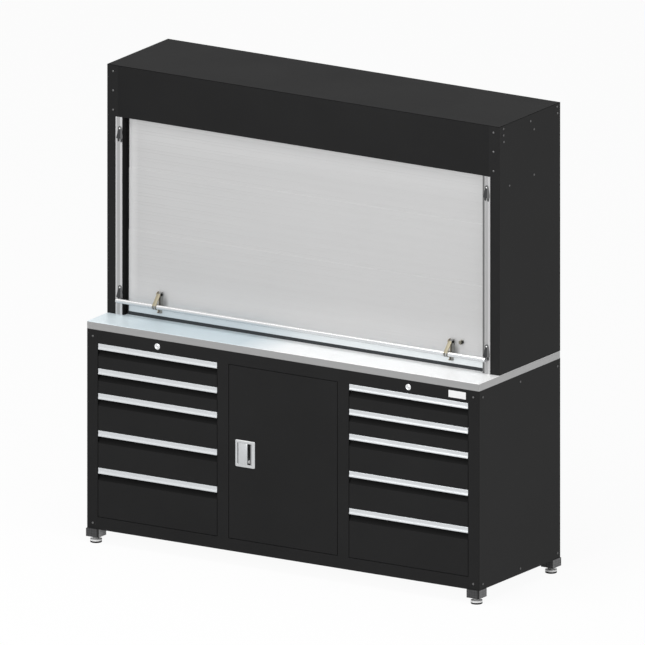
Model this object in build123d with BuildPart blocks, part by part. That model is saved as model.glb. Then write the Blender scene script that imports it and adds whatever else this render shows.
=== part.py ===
"""Roll front tool cabinet: a base with two banks of five drawers and a cupboard between them, a steel
worktop, and a canopy whose front is closed by a roller shutter with a lift bar.

The part stands on Z = 0. X runs along the front, Y from the front (negative) to the back, Z up. Millimetres.
"""
import math
import os

from build123d import *

os.makedirs("parts", exist_ok=True)

# ------------------------------------------------------------------ driving dimensions: the whole cabinet
width = 1815.0  # over the side panels
depth = 600.0  # of the base and the worktop
canopy_depth = 450.0
canopy_height = 1010.0
fascia_height = 207.5
worktop_thickness = 30.0
skin = 2.0  # folded sheet of the casings
seam = 0.2  # between two sheets that are screwed side by side
flange = 20.0  # of a folded sheet's edge

# ------------------------------------------------------------------ base: frame, openings and posts
corner_post = 50.0
door_opening = 505.0
mid_post = 51.25
bottom_rail = 50.0
top_rail = 52.0
lip_depth = 40.0  # a post's or rail's edge, folded back
rear_lip = 50.0
front_gap = 2.4  # seam round drawer fronts and the door
bend_radius = 2.5

# ------------------------------------------------------------------ feet
block_width = 57.4
block_depth = 58.0
block_height = 33.0
block_proud = 1.5  # of the base's sides
block_forward = 4.5  # of the base's front and back
rib_spacing = 6.0
rib_depth = 1.0
rib_land = 3.0
foot_clear = 26.0  # from the floor to the blocks
foot_disc_radius = 23.5
foot_disc_height = 12.5
foot_cone_height = 5.0
foot_edge = 1.5  # bevel under the disc
stem_radius = 6.0
stem_end = 3.0  # below the block's top face
nut_across = 19.0
nut_height = 7.5
turning_fit = 0.05  # radial, between a shaft and its hole
seat_gap = 0.3  # between a piece and what it runs on or rests against

# ------------------------------------------------------------------ drawers
drawer_unit_height = 50.4
drawer_units = (2, 2, 3, 3, 4)  # heights of one bank's fronts, from the top
front_depth = 20.0
front_sheet = 1.5
front_rim = 5.0  # of the front's back, behind the box
recess_height = 28.0  # finger recess under the handle
recess_depth = 16.0
handle_height = 24.4
handle_wall = 1.8
handle_leg = 12.0
handle_waist = 0.8  # the face's hollow middle, behind the front plane
handle_lip_proud = 1.0
handle_lip = 5.2
handle_lip_height = 9.0
drawer_side_space = 13.0  # for one runner
drawer_depth = 490.0
drawer_wall = 1.2
drawer_floor_rise = 6.0  # above the front's bottom edge
drawer_rim_drop = 24.0  # below the front's top edge
runner_sheet = 1.5
runner_height = 40.0
runner_rise = 31.0  # centre, above the front's bottom edge
runner_start = 2.0  # behind the drawer front
runner_rear = 34.0  # from its end to the base's back
runner_inner_reach = 8.0

# ------------------------------------------------------------------ drawer locks and label plate
lock_rise = 24.5  # centre, above the openings
lock_flange_radius = 12.5
lock_flange = 4.0
lock_body_radius = 10.0
lock_body = 22.0
lock_barrel_radius = 7.0
lock_bore_fit = 0.1
key_slot_width = 1.8
key_slot_height = 8.0
key_slot_depth = 5.0
cam_length = 17.0
cam_width = 10.0
cam_thickness = 3.0
plate_length = 80.0
plate_height = 28.5
plate_thickness = 1.0
plate_from_post = 11.5
plate_rise = 25.25

# ------------------------------------------------------------------ door
hinge_inset = 7.0  # pin centre from the door's edge
hinge_setback = 5.0  # pin centre behind the door's face
pin_radius = 2.5
pin_length = 9.0
door_thickness = 20.0
dish_width = 90.0
dish_height = 109.0
dish_offset = 33.0  # from the edge of the opening
dish_drop = 1.0  # below the middle of the opening
dish_plate = 2.5
dish_corner = 5.0
pan_left = 10.0  # inside the plate's edge
pan_width = 63.0
pan_height = 85.0
pan_depth = 15.0
pan_wall = 1.5
paddle_gap = 2.0
paddle_width = 43.0
paddle_thickness = 3.0
paddle_lip = 6.0
knuckle_radius = 2.4
knuckle_inset = 3.2
door_key_radius = 6.5
door_key_drop = 29.0

# ------------------------------------------------------------------ canopy
canopy_post = 41.4
edge_radius = 1.0  # of the side sheets' front edges
guide_width = 28.0
guide_proud = 3.7  # of the posts beside the guides
guide_front = 21.0  # depth of the guide's hollow front
guide_wall = 2.0
guide_bevel_width = 7.0
guide_bevel_depth = 4.0
guide_groove = 12.0
guide_groove_depth = 0.8
seal_width = 24.6
seal_thickness = 2.4
seal_overlap = 14.0  # behind the guide
seal_lip = 8.6  # on the guide's inner side
fascia_flange = 12.0
roof_flange = 15.0

# ------------------------------------------------------------------ shutter
slat_pitch = 36.0
slat_line = 11.8  # second groove, above each slat's lower edge
slat_groove = 0.4
slat_thickness = 1.6
section_slats = (8, 7, 7)  # bottom, middle and top section
section_overlap = 6.0
layer_gap = 0.4
curtain_edge = 7.0  # from the curtain's end to the guide's outer face
rail_height = 42.8
rail_proud = 6.0
rail_end_gap = 4.0
bottom_seal_height = 14.0
bottom_seal_proud = 4.0
barrel_set_back = 165.0  # centre, behind the canopy's front
barrel_drop = 135.0  # centre, below the roof
barrel_radius = 50.0
barrel_wall = 2.0
wound_radius = 57.0
wound_facets = 16
wound_end = 62.0  # from the wound curtain's end to the side panel
barrel_end = 57.0
shaft_radius = 10.0
bracket_thickness = 3.0
bracket_margin = 14.0
bracket_head_margin = 9.6  # above the top screw

# ------------------------------------------------------------------ lift bar, arms, catches and shutter lock
bar_radius = 10.0
bar_inset = 11.5  # the bar's ends, from the guides' outer sides
bar_rise = 61.0  # above the worktop
bar_proud = 17.8  # centre, in front of the canopy's front
bar_travel = 643.0
arm_inset = 192.1  # the arms' middle, from the guides' outer sides
arm_width = 16.0
arm_finger = 4.5
arm_strap = 4.5
arm_eye_wall = 2.6
pivot_rise = 105.5
pivot_set_back = 10.0  # behind the canopy's front
pivot_radius = 3.5
pivot_wall = 3.5
ear_thickness = 2.0
ear_gap = 0.3
bracket_lip = 9.0
bracket_drop = 78.0
catch_inset = 17.6  # their eyes, from the guides' outer sides
catch_height = 62.0
catch_thickness = 2.5
catch_eye_radius = 8.0
catch_left = 16.5  # beside the eye's middle
catch_right = 12.5
catch_shift = 2.7  # of all four, to the right
catch_drop = 3.0  # of the two low ones
catch_leg = 7.0
catch_long_leg = 12.0
catch_short_leg = 5.0
shutter_lock_inset = 147.2  # from the guide's outer side
shutter_lock_radius = 9.2
shutter_lock_proud = 13.0
shutter_lock_spigot = 4.0

# ------------------------------------------------------------------ screws
head_radius = 4.5
head_height = 2.2
shank_radius = 2.5
shank_length = 5.0
shank_fit = 0.2
socket_across = 3.0
socket_depth = 1.2
front_screw_inset = 27.5
front_screw_top = 27.5
front_screw_bottom = 23.75
side_screw_top = 29.0
side_screw_bottom = 22.0
side_screw_front = 27.5
side_screw_middle = 5.0  # behind the base's middle
side_screw_rear = 20.0
fascia_screw_drop = (26.0, 104.0, 182.5)
# pairs: behind the canopy's front, and below its top
roof_front_screws = ((30.0, 14.0), (30.0, 40.0), (32.5, 67.5))
# pairs: in front of the back, and below the canopy's top
roof_rear_screws = ((24.0, 14.0), (21.0, 40.0))
# pairs: behind and below the barrel's centre
bracket_screws = ((65.0, -107.5), (91.0, -69.0), (-91.0, 119.0), (91.0, 116.0))

# ------------------------------------------------------------------ levels and planes that follow
base_z = foot_clear + block_height
opening_z = base_z + bottom_rail
opening_height = drawer_unit_height * sum(drawer_units) + front_gap
opening_top = opening_z + opening_height
base_top = opening_top + top_rail
worktop_top = base_top + worktop_thickness
canopy_top = worktop_top + canopy_height
fascia_z = canopy_top - fascia_height
front_y = -depth / 2
back_y = depth / 2
canopy_y = back_y - canopy_depth
half = width / 2
post_in = half - corner_post
mid_in = door_opening / 2
mid_out = mid_in + mid_post
bank_width = post_in - mid_out
bank_middle = (post_in + mid_out) / 2
rear_face = back_y - skin  # front of the back panels
curtain_y = canopy_y + guide_front + seal_thickness + 2 * seat_gap
layer_step = slat_thickness + layer_gap
guide_rear = curtain_y + 3 * layer_step + guide_wall
guide_face = canopy_y - guide_proud
guide_in = half - canopy_post - guide_width
guide_out = half - canopy_post
curtain_half = guide_out - curtain_edge
rail_top = worktop_top + bottom_seal_height + rail_height
bar_z = worktop_top + bar_rise
bar_y = canopy_y - bar_proud
pivot_z = worktop_top + pivot_rise
pivot_y = canopy_y + pivot_set_back
barrel_y = canopy_y + barrel_set_back
barrel_z = canopy_top - barrel_drop
arm_x = guide_out - arm_inset
bar_half = guide_out - bar_inset
catch_x = guide_out - catch_inset
shutter_lock_x = guide_out - shutter_lock_inset


# ------------------------------------------------------------------ helpers
def block(x0, x1, y0, y1, z0, z1, mode=Mode.ADD):
    """A box between two corners, in the part being built."""
    with Locations(((x0 + x1) / 2, (y0 + y1) / 2, (z0 + z1) / 2)):
        Box(abs(x1 - x0), abs(y1 - y0), abs(z1 - z0), mode=mode)


def bar_x(radius, x0, x1, y, z, mode=Mode.ADD):
    """A round bar along X."""
    with Locations(Location(((x0 + x1) / 2, y, z), (0, 90, 0))):
        Cylinder(radius, abs(x1 - x0), mode=mode)


def bar_y_way(radius, x, y0, y1, z, mode=Mode.ADD):
    """A round bar along Y."""
    with Locations(Location((x, (y0 + y1) / 2, z), (90, 0, 0))):
        Cylinder(radius, abs(y1 - y0), mode=mode)


def bar_z_way(radius, x, y, z0, z1, mode=Mode.ADD):
    """A round bar along Z."""
    with Locations((x, y, (z0 + z1) / 2)):
        Cylinder(radius, abs(z1 - z0), mode=mode)


def prism_x(points, x0, x1, mode=Mode.ADD):
    """A closed outline of (y, z) points, drawn out along X."""
    with BuildSketch(Plane.YZ.offset(min(x0, x1))) as outline:
        with BuildLine():
            Polyline(*points, close=True)
        make_face()
    extrude(outline.sketch, amount=abs(x1 - x0), mode=mode)


def drill(places, mode=Mode.SUBTRACT):
    """Clearance holes for screws whose heads sit at these places."""
    for place in places:
        with Locations(place):
            Cylinder(shank_radius + shank_fit, 4 * shank_length, mode=mode)


def finish(piece, node):
    piece.part.label = node
    export_step(piece.part, f"parts/{node}.step")


# ------------------------------------------------------------------ screws: seats of the heads, Z outwards
def front_place(x, y, z):
    return Location((x, y, z), (90, 0, 0))


def side_place(side, y, z):
    return Location((side * half, y, z), (0, 90 * side, 0))


base_front_places = {
    side: [
        front_place(side * (half - front_screw_inset), front_y, z)
        for z in (base_top - front_screw_top, base_z + front_screw_bottom)
    ]
    for side in (-1, 1)
}
base_side_places = {
    side: [
        side_place(side, y, z)
        for y in (front_y + side_screw_front, side_screw_middle, back_y - side_screw_rear)
        for z in (base_top - side_screw_top, base_z + side_screw_bottom)
    ]
    for side in (-1, 1)
}
fascia_screw_x = half - front_screw_inset
fascia_places = {
    side: [front_place(side * fascia_screw_x, canopy_y, canopy_top - d) for d in fascia_screw_drop]
    for side in (-1, 1)
}
roof_screws = [(canopy_y + y, canopy_top - drop) for y, drop in roof_front_screws]
roof_screws += [(back_y - y, canopy_top - drop) for y, drop in roof_rear_screws]
roof_places = {side: [side_place(side, y, z) for y, z in roof_screws] for side in (-1, 1)}
plate_screws = [(barrel_y + y, barrel_z - drop) for y, drop in bracket_screws]
bracket_places = {side: [side_place(side, y, z) for y, z in plate_screws] for side in (-1, 1)}

with BuildPart() as screw:
    with BuildSketch(Plane.XZ):
        with BuildLine():
            Polyline(
                (0, -shank_length),
                (shank_radius, -shank_length),
                (shank_radius, 0),
                (head_radius, 0),
                (head_radius, 0.35 * head_height),
                (0.85 * head_radius, 0.75 * head_height),
                (0.55 * head_radius, head_height),
                (0, head_height),
                close=True,
            )
        make_face()
    revolve(axis=Axis.Z)
    with BuildSketch(Plane.XY.offset(head_height)):
        RegularPolygon(socket_across / 2, 6, major_radius=False)
    extrude(amount=-socket_depth, mode=Mode.SUBTRACT)

with BuildPart() as screws:
    for places in (base_front_places, base_side_places, fascia_places, roof_places, bracket_places):
        with Locations(*places[-1], *places[1]):
            add(screw.part)
finish(screws, "screws")


# ------------------------------------------------------------------ base casing
def base_side(side):
    """Side panel folded in one with its front and rear posts and its top and bottom flanges."""
    with BuildPart() as panel:
        block(side * (half - skin), side * half, front_y, back_y, base_z, base_top)
        block(side * post_in, side * half, front_y, front_y + skin, base_z, base_top)
        block(side * post_in, side * (post_in + skin), front_y, front_y + lip_depth, base_z, base_top)
        block(side * post_in, side * half, rear_face - skin, rear_face, base_z, base_top)
        block(side * post_in, side * (post_in + skin), rear_face - rear_lip, rear_face, base_z, base_top)
        for z in (base_z, base_top - skin):
            block(side * (half - flange), side * half, front_y, rear_face, z, z + skin)
        outer = panel.edges().filter_by(Axis.Z).filter_by_position(Axis.Y, front_y, front_y)
        fillet(outer.sort_by(Axis.X)[0 if side < 0 else -1], bend_radius)
        drill(base_front_places[side] + base_side_places[side])
    return panel


finish(base_side(-1), "base_left_side")
finish(base_side(1), "base_right_side")

with BuildPart() as base_back_panel:
    block(-half + skin + seam, half - skin - seam, rear_face, back_y, base_z, base_top)
finish(base_back_panel, "base_back_panel")

with BuildPart() as base_floor_tray:
    floor_front = front_y + lip_depth
    block(-post_in, post_in, floor_front, rear_face, opening_z - skin, opening_z)
    for y in (floor_front, rear_face - skin):
        block(-post_in, post_in, y, y + skin, opening_z - flange, opening_z - skin)
finish(base_floor_tray, "base_floor_tray")

hinge_x = mid_in - front_gap - hinge_inset
hinge_y = front_y + hinge_setback

with BuildPart() as front_frame:
    frame_half = post_in - seam
    block(-frame_half, frame_half, front_y, front_y + skin, base_z, base_top)
    for x0, x1 in ((-frame_half, -mid_out), (-mid_in, mid_in), (mid_out, frame_half)):
        block(x0, x1, front_y, front_y + skin, opening_z, opening_top, mode=Mode.SUBTRACT)
    for z in (opening_z - skin, opening_top):
        block(-frame_half, frame_half, front_y, front_y + lip_depth, z, z + skin)
    for z in (base_z, base_top - skin):
        block(-frame_half, frame_half, front_y, front_y + flange, z, z + skin)
    for side in (-1, 1):
        for x in (mid_in, mid_out - skin):
            block(side * x, side * (x + skin), front_y, front_y + lip_depth, opening_z, opening_top)
        bar_y_way(
            lock_body_radius + lock_bore_fit,
            side * bank_middle,
            front_y - skin,
            front_y + 2 * skin,
            opening_top + lock_rise,
            mode=Mode.SUBTRACT,
        )
    bar_z_way(pin_radius, hinge_x, hinge_y, opening_z, opening_z + pin_length)
    bar_z_way(pin_radius, hinge_x, hinge_y, opening_top - pin_length, opening_top)
finish(front_frame, "front_frame")

with BuildPart() as cupboard_dividers:
    for side in (-1, 1):
        for x in (mid_in, mid_out - skin):
            block(side * x, side * (x + skin), front_y + lip_depth, rear_face, opening_z, base_top)
        block(side * mid_in, side * mid_out, rear_face - skin, rear_face, opening_z, base_top)
finish(cupboard_dividers, "cupboard_dividers")

with BuildPart() as worktop:
    block(-half, half, front_y, back_y, base_top, worktop_top)
    fillet(worktop.edges().filter_by(Axis.Z), bend_radius)
    fillet(worktop.faces().sort_by(Axis.Z)[-1].edges(), bend_radius)
    under = worktop_top - skin
    block(-half + skin, half - skin, front_y + skin, rear_face, base_top + skin, under, mode=Mode.SUBTRACT)
    inner = half - 2 * flange
    block(-inner, inner, front_y + 2 * flange, back_y - 2 * flange, base_top, base_top + skin, Mode.SUBTRACT)
finish(worktop, "worktop")

# ------------------------------------------------------------------ leg blocks and levelling feet
block_x = half + block_proud - block_width / 2
block_y = depth / 2 + block_forward - block_depth / 2
foot_places = {
    "front_left": (-block_x, -block_y),
    "front_right": (block_x, -block_y),
    "rear_left": (-block_x, block_y),
    "rear_right": (block_x, block_y),
}

with BuildPart() as leg_blocks:
    with BuildSketch(Plane.XY.offset(foot_clear)):
        with Locations(*foot_places.values()):
            Rectangle(block_width, block_depth)
            groove = rib_spacing - rib_land
            with GridLocations(rib_spacing, block_depth, int((block_width - 2 * rib_land) / rib_spacing), 2):
                Rectangle(groove, 2 * rib_depth, mode=Mode.SUBTRACT)
            with GridLocations(block_width, rib_spacing, 2, int((block_depth - 2 * rib_land) / rib_spacing)):
                Rectangle(2 * rib_depth, groove, mode=Mode.SUBTRACT)
            Circle(stem_radius + turning_fit, mode=Mode.SUBTRACT)
    extrude(amount=block_height)
finish(leg_blocks, "leg_blocks")

for corner, (x, y) in foot_places.items():
    with BuildPart() as foot:
        with BuildSketch(Plane.XZ.offset(-y)):
            with BuildLine():
                Polyline(
                    (x, 0),
                    (x + foot_disc_radius - foot_edge, 0),
                    (x + foot_disc_radius, foot_edge),
                    (x + foot_disc_radius, foot_disc_height),
                    (x + 2 * stem_radius, foot_disc_height + foot_cone_height),
                    (x + stem_radius, foot_disc_height + foot_cone_height),
                    (x + stem_radius, base_z - stem_end),
                    (x, base_z - stem_end),
                    close=True,
                )
            make_face()
        revolve(axis=Axis((x, y, 0), (0, 0, 1)))
        with BuildSketch(Plane.XY.offset(foot_clear - seat_gap - nut_height)):
            with Locations((x, y)):
                RegularPolygon(nut_across / 2, 6, major_radius=False)
        extrude(amount=nut_height)
    finish(foot, f"levelling_foot_{corner}")

# ------------------------------------------------------------------ drawers
front_width = bank_width - 2 * front_gap
front_back = front_y + front_depth
recess_slope = math.hypot(recess_depth, recess_height)
runner_end = back_y - runner_rear
runner_inner_height = runner_height - 2 * runner_sheet - 2 * seat_gap
runner_front = front_back + runner_start


def drawer_levels():
    """Bottom and top of each front in a bank, from the top drawer down."""
    levels = []
    top = opening_top - front_gap
    for units in drawer_units:
        levels.append((top - units * drawer_unit_height + front_gap, top))
        top -= units * drawer_unit_height
    return levels


def drawer(middle, bottom, top):
    """Folded front, box and the two sliding members of its runners, as separate solids."""
    x0, x1 = middle - front_width / 2, middle + front_width / 2
    recess_top = top - handle_height
    recess_foot = recess_top - recess_height
    set_back = front_sheet * (recess_slope - recess_height) / recess_depth
    box_half = bank_width / 2 - drawer_side_space
    box_z0, box_z1 = bottom + drawer_floor_rise, top - drawer_rim_drop
    box_back = front_back + drawer_depth
    runner_z = bottom + runner_rise
    with BuildPart() as front:
        prism_x(
            [
                (front_back, bottom),
                (front_y, bottom),
                (front_y, recess_foot),
                (front_y + recess_depth, recess_top),
                (front_y + recess_depth, top),
                (front_back, top),
            ],
            x0,
            x1,
        )
        prism_x(
            [
                (front_back - front_sheet, bottom + front_sheet),
                (front_y + front_sheet, bottom + front_sheet),
                (front_y + front_sheet, recess_foot - set_back),
                (front_y + recess_depth + front_sheet, recess_top - set_back),
                (front_y + recess_depth + front_sheet, top - front_sheet),
                (front_back - front_sheet, top - front_sheet),
            ],
            x0 + front_sheet,
            x1 - front_sheet,
            mode=Mode.SUBTRACT,
        )
        rim_x, rim_y = drawer_side_space + front_rim, front_back - front_sheet
        rim_z = drawer_floor_rise + front_rim
        block(x0 + rim_x, x1 - rim_x, rim_y, front_back, bottom + rim_z, top - rim_z, mode=Mode.SUBTRACT)
    with BuildPart() as box:
        block(middle - box_half, middle + box_half, front_back, box_back, box_z0, box_z1)
        block(
            middle - box_half + drawer_wall,
            middle + box_half - drawer_wall,
            front_back + drawer_wall,
            box_back - drawer_wall,
            box_z0 + drawer_wall,
            box_z1,
            mode=Mode.SUBTRACT,
        )
    members = []
    for way in (-1, 1):
        web = middle + way * box_half
        reach = runner_inner_height / 2
        with BuildPart() as member:
            block(web, web + way * runner_sheet, runner_front, box_back, runner_z - reach, runner_z + reach)
            for z in (runner_z - reach, runner_z + reach - runner_sheet):
                block(web, web + way * runner_inner_reach, runner_front, box_back, z, z + runner_sheet)
        members.append(member.part)
    return Compound(children=[front.part.solid(), box.part.solid(), *[m.solid() for m in members]])


def drawer_handle(middle, top):
    """Full-width pull: hollowed face with a thick lower lip, top plate, and a leg on the drawer front."""
    foot = top - handle_height
    with BuildPart() as handle:
        prism_x(
            [
                (front_y - handle_lip_proud, foot),
                (front_y + handle_waist, foot + handle_lip_height),
                (front_y + handle_waist, top - 2 * handle_wall),
                (front_y, top - handle_wall),
                (front_y, top),
                (front_y + recess_depth, top),
                (front_y + recess_depth, top - handle_leg),
                (front_y + recess_depth - front_sheet, top - handle_leg),
                (front_y + recess_depth - front_sheet, top - handle_wall),
                (front_y + handle_waist + handle_wall, top - handle_wall),
                (front_y + handle_waist + handle_wall, foot + handle_lip_height / 3),
                (front_y - handle_lip_proud + handle_lip, foot + handle_lip_height / 4),
                (front_y - handle_lip_proud + handle_lip, foot),
            ],
            middle - front_width / 2,
            middle + front_width / 2,
        )
    return handle


with BuildPart() as fixed_runners:
    for side in (-1, 1):
        for bottom, top in drawer_levels():
            z = bottom + runner_rise
            reach = runner_height / 2
            lip = drawer_side_space - runner_sheet - seat_gap
            for web, way in ((post_in, -1), (mid_out, 1)):
                x = side * web
                inward = side * way
                block(x, x + inward * runner_sheet, runner_front, runner_end, z - reach, z + reach)
                for z0 in (z - reach, z + reach - runner_sheet):
                    block(x, x + inward * lip, runner_front, runner_end, z0, z0 + runner_sheet)
finish(fixed_runners, "fixed_runners")

for bank, side in (("left", -1), ("right", 1)):
    for number, (bottom, top) in enumerate(drawer_levels(), start=1):
        drawer_solids = drawer(side * bank_middle, bottom, top)
        drawer_solids.label = f"{bank}_drawer_{number}"
        export_step(drawer_solids, f"parts/{bank}_drawer_{number}.step")
        finish(drawer_handle(side * bank_middle, top), f"{bank}_drawer_handle_{number}")

# ------------------------------------------------------------------ drawer locks and label plate
lock_z = opening_top + lock_rise
lock_face = front_y - lock_flange
lock_rear = front_y + lock_body

with BuildPart() as lock_housings:
    for side in (-1, 1):
        x = side * bank_middle
        bar_y_way(lock_flange_radius, x, lock_face, front_y, lock_z)
        bar_y_way(lock_body_radius, x, front_y, lock_rear, lock_z)
        bar_y_way(lock_barrel_radius + turning_fit, x, lock_face, lock_rear, lock_z, mode=Mode.SUBTRACT)
    fillet(lock_housings.edges().filter_by(GeomType.CIRCLE).group_by(Axis.Y)[0].filter_by(
        lambda e: e.radius > lock_body_radius), 1.0)
finish(lock_housings, "lock_housings")

for bank, side in (("left", -1), ("right", 1)):
    x = side * bank_middle
    with BuildPart() as lock_barrel:
        bar_y_way(lock_barrel_radius, x, lock_face, lock_rear + seat_gap, lock_z)
        cam_y = lock_rear + seat_gap
        block(x, x + cam_length, cam_y, cam_y + cam_thickness, lock_z - cam_width / 2, lock_z + cam_width / 2)
        bar_y_way(lock_barrel_radius, x, cam_y, cam_y + cam_thickness, lock_z)
        slot_half = key_slot_height / 2
        block(
            x - key_slot_width / 2,
            x + key_slot_width / 2,
            lock_face,
            lock_face + key_slot_depth,
            lock_z - slot_half,
            lock_z + slot_half,
            mode=Mode.SUBTRACT,
        )
    finish(lock_barrel, f"{bank}_drawer_lock")

with BuildPart() as label_plate:
    plate_x = post_in - plate_from_post - plate_length / 2
    with BuildSketch(Plane.XZ.offset(-front_y)):
        with Locations((plate_x, opening_top + plate_rise)):
            RectangleRounded(plate_length, plate_height, 2 * plate_thickness)
    extrude(amount=plate_thickness)
finish(label_plate, "label_plate")

# ------------------------------------------------------------------ door, its recessed handle and paddle
door_x = mid_in - front_gap
door_z0, door_z1 = opening_z + front_gap, opening_top - front_gap
dish_x0 = -mid_in + dish_offset
dish_z = (opening_z + opening_top) / 2 - dish_drop
pan_x0 = dish_x0 + pan_left
pan_x1 = pan_x0 + pan_width
pan_z0, pan_z1 = dish_z - pan_height / 2, dish_z + pan_height / 2
pan_floor = front_y + pan_depth

with BuildPart() as door_panel:
    block(-door_x, door_x, front_y, front_y + door_thickness, door_z0, door_z1)
    block(
        -door_x + skin,
        door_x - skin,
        front_y + skin,
        front_y + door_thickness,
        door_z0 + skin,
        door_z1 - skin,
        mode=Mode.SUBTRACT,
    )
    bar_z_way(pin_radius + turning_fit, hinge_x, hinge_y, door_z0 - 1, door_z1 + 1, mode=Mode.SUBTRACT)
    a = pan_wall + seam
    block(pan_x0 - a, pan_x1 + a, front_y, front_y + skin, pan_z0 - a, pan_z1 + a, mode=Mode.SUBTRACT)
finish(door_panel, "door_panel")

knuckle_x = pan_x0 + paddle_gap + knuckle_inset
knuckle_y = front_y + knuckle_radius - dish_plate / 2

with BuildPart() as door_handle_dish:
    with BuildSketch(Plane.XZ.offset(-front_y)):
        with Locations((dish_x0 + dish_width / 2, dish_z)):
            RectangleRounded(dish_width, dish_height, dish_corner)
    extrude(amount=dish_plate)
    fillet(door_handle_dish.faces().sort_by(Axis.Y)[0].edges(), 0.6 * dish_plate)
    w = pan_wall
    block(pan_x0 - w, pan_x1 + w, front_y, pan_floor + w, pan_z0 - w, pan_z1 + w)
    block(pan_x0, pan_x1, front_y - 2 * dish_plate, pan_floor, pan_z0, pan_z1, mode=Mode.SUBTRACT)
    key_x = pan_x1 - door_key_radius - pan_wall
    bar_y_way(door_key_radius, key_x, front_y + pan_wall, pan_floor, dish_z - door_key_drop)
    pivot_bore = knuckle_radius / 2 + turning_fit
    bar_z_way(pivot_bore, knuckle_x, knuckle_y, pan_z0 - w, pan_z1 + w, mode=Mode.SUBTRACT)
finish(door_handle_dish, "door_handle_dish")

with BuildPart() as door_paddle:
    paddle_x0 = pan_x0 + paddle_gap
    paddle_x1 = paddle_x0 + paddle_width
    paddle_z0, paddle_z1 = pan_z0 + seat_gap, pan_z1 - seat_gap
    paddle_y0 = front_y - dish_plate
    paddle_y1 = paddle_y0 + paddle_thickness
    block(paddle_x0, paddle_x1, paddle_y0, paddle_y1, paddle_z0, paddle_z1)
    fillet(door_paddle.edges().filter_by(Axis.Z).sort_by(Axis.Y)[:2], 0.4 * paddle_thickness)
    lip_z0, lip_z1 = paddle_z0 + paddle_lip, paddle_z1 - paddle_lip
    block(paddle_x1 - pan_wall, paddle_x1, paddle_y1, paddle_y1 + paddle_lip, lip_z0, lip_z1)
    bar_z_way(knuckle_radius, knuckle_x, knuckle_y, paddle_z0, paddle_z1)
    bar_z_way(knuckle_radius / 2, knuckle_x, knuckle_y, pan_z0 - pan_wall, pan_z1 + pan_wall)
finish(door_paddle, "door_paddle")

# ------------------------------------------------------------------ canopy casing
wall_top = canopy_top - skin  # the roof lies on the walls


def canopy_side(side):
    """Side sheet with the two posts that are welded to its inner face, as separate solids."""
    inner = half - skin
    with BuildPart() as sheet:
        block(side * inner, side * half, canopy_y, back_y, worktop_top, wall_top)
        foot, flange_in = worktop_top + skin, side * (half - flange)
        block(flange_in, side * half, canopy_y + flange, rear_face - skin, worktop_top, foot)
        outer = sheet.edges().filter_by(Axis.Z).filter_by_position(Axis.Y, canopy_y, canopy_y)
        fillet(outer.sort_by(Axis.X)[0 if side < 0 else -1], edge_radius)
        drill(roof_places[side] + bracket_places[side])
    with BuildPart() as front_post:
        block(side * guide_out, side * inner, canopy_y, canopy_y + skin, worktop_top, wall_top)
        block(side * guide_out, side * (guide_out + skin), canopy_y, canopy_y + flange, worktop_top, wall_top)
        block(side * post_in, side * guide_out, canopy_y, canopy_y + skin, fascia_z, wall_top)
        drill(fascia_places[side])
    with BuildPart() as rear_post:
        block(side * guide_out, side * inner, rear_face - skin, rear_face, worktop_top, wall_top)
    return Compound(children=[sheet.part.solid(), front_post.part.solid(), rear_post.part.solid()])


for bank, side in (("left", -1), ("right", 1)):
    canopy_solids = canopy_side(side)
    canopy_solids.label = f"canopy_{bank}_side"
    export_step(canopy_solids, f"parts/canopy_{bank}_side.step")

with BuildPart() as canopy_back_panel:
    block(-half + skin + seam, half - skin - seam, rear_face, back_y, worktop_top, wall_top)
finish(canopy_back_panel, "canopy_back_panel")

with BuildPart() as canopy_roof:
    block(-half, half, canopy_y, back_y, wall_top, canopy_top)
    fillet(canopy_roof.faces().sort_by(Axis.Z)[-1].edges(), 0.5 * skin)
    inside = half - skin - seam
    for side in (-1, 1):
        block(
            side * (inside - skin),
            side * inside,
            canopy_y + flange + seam,
            rear_face - skin - seam,
            wall_top - roof_flange,
            wall_top,
        )
        drill(roof_places[side])
    fascia_rear = canopy_y + skin
    block(-guide_in, guide_in, fascia_rear, fascia_rear + skin, wall_top - roof_flange, wall_top)
finish(canopy_roof, "canopy_roof")

with BuildPart() as fascia:
    block(-post_in + seam, post_in - seam, canopy_y, canopy_y + skin, fascia_z, wall_top)
    block(-post_in + seam, post_in - seam, canopy_y, canopy_y + fascia_flange, fascia_z, fascia_z + skin)
finish(fascia, "fascia")

# ------------------------------------------------------------------ guides, seals, barrel plates, catches
with BuildPart() as shutter_guides:
    box_rear = canopy_y + guide_front
    for side in (-1, 1):
        with BuildSketch(Plane.XY.offset(worktop_top)):
            with BuildLine():
                Polyline(
                    (side * guide_in, box_rear),
                    (side * guide_in, guide_face + guide_bevel_depth),
                    (side * (guide_in + guide_bevel_width), guide_face),
                    (side * guide_out, guide_face),
                    (side * guide_out, guide_rear),
                    (side * (guide_in + guide_bevel_width), guide_rear),
                    (side * (guide_in + guide_bevel_width), guide_rear - guide_wall),
                    (side * (guide_out - guide_wall), guide_rear - guide_wall),
                    (side * (guide_out - guide_wall), box_rear),
                    close=True,
                )
            make_face()
            with BuildLine():
                Polyline(
                    (side * (guide_in + guide_wall), box_rear - guide_wall),
                    (side * (guide_in + guide_wall), guide_face + guide_bevel_depth + guide_wall),
                    (side * (guide_in + guide_bevel_width), guide_face + 1.5 * guide_wall),
                    (side * (guide_out - guide_wall), guide_face + 1.5 * guide_wall),
                    (side * (guide_out - guide_wall), box_rear - guide_wall),
                    close=True,
                )
            make_face(mode=Mode.SUBTRACT)
            groove_middle = guide_in + guide_bevel_width + (guide_wall + guide_groove) / 2
            with Locations((side * groove_middle, guide_face)):
                Rectangle(guide_groove, 2 * guide_groove_depth, mode=Mode.SUBTRACT)
        extrude(amount=fascia_z - worktop_top)
finish(shutter_guides, "shutter_guides")

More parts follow.
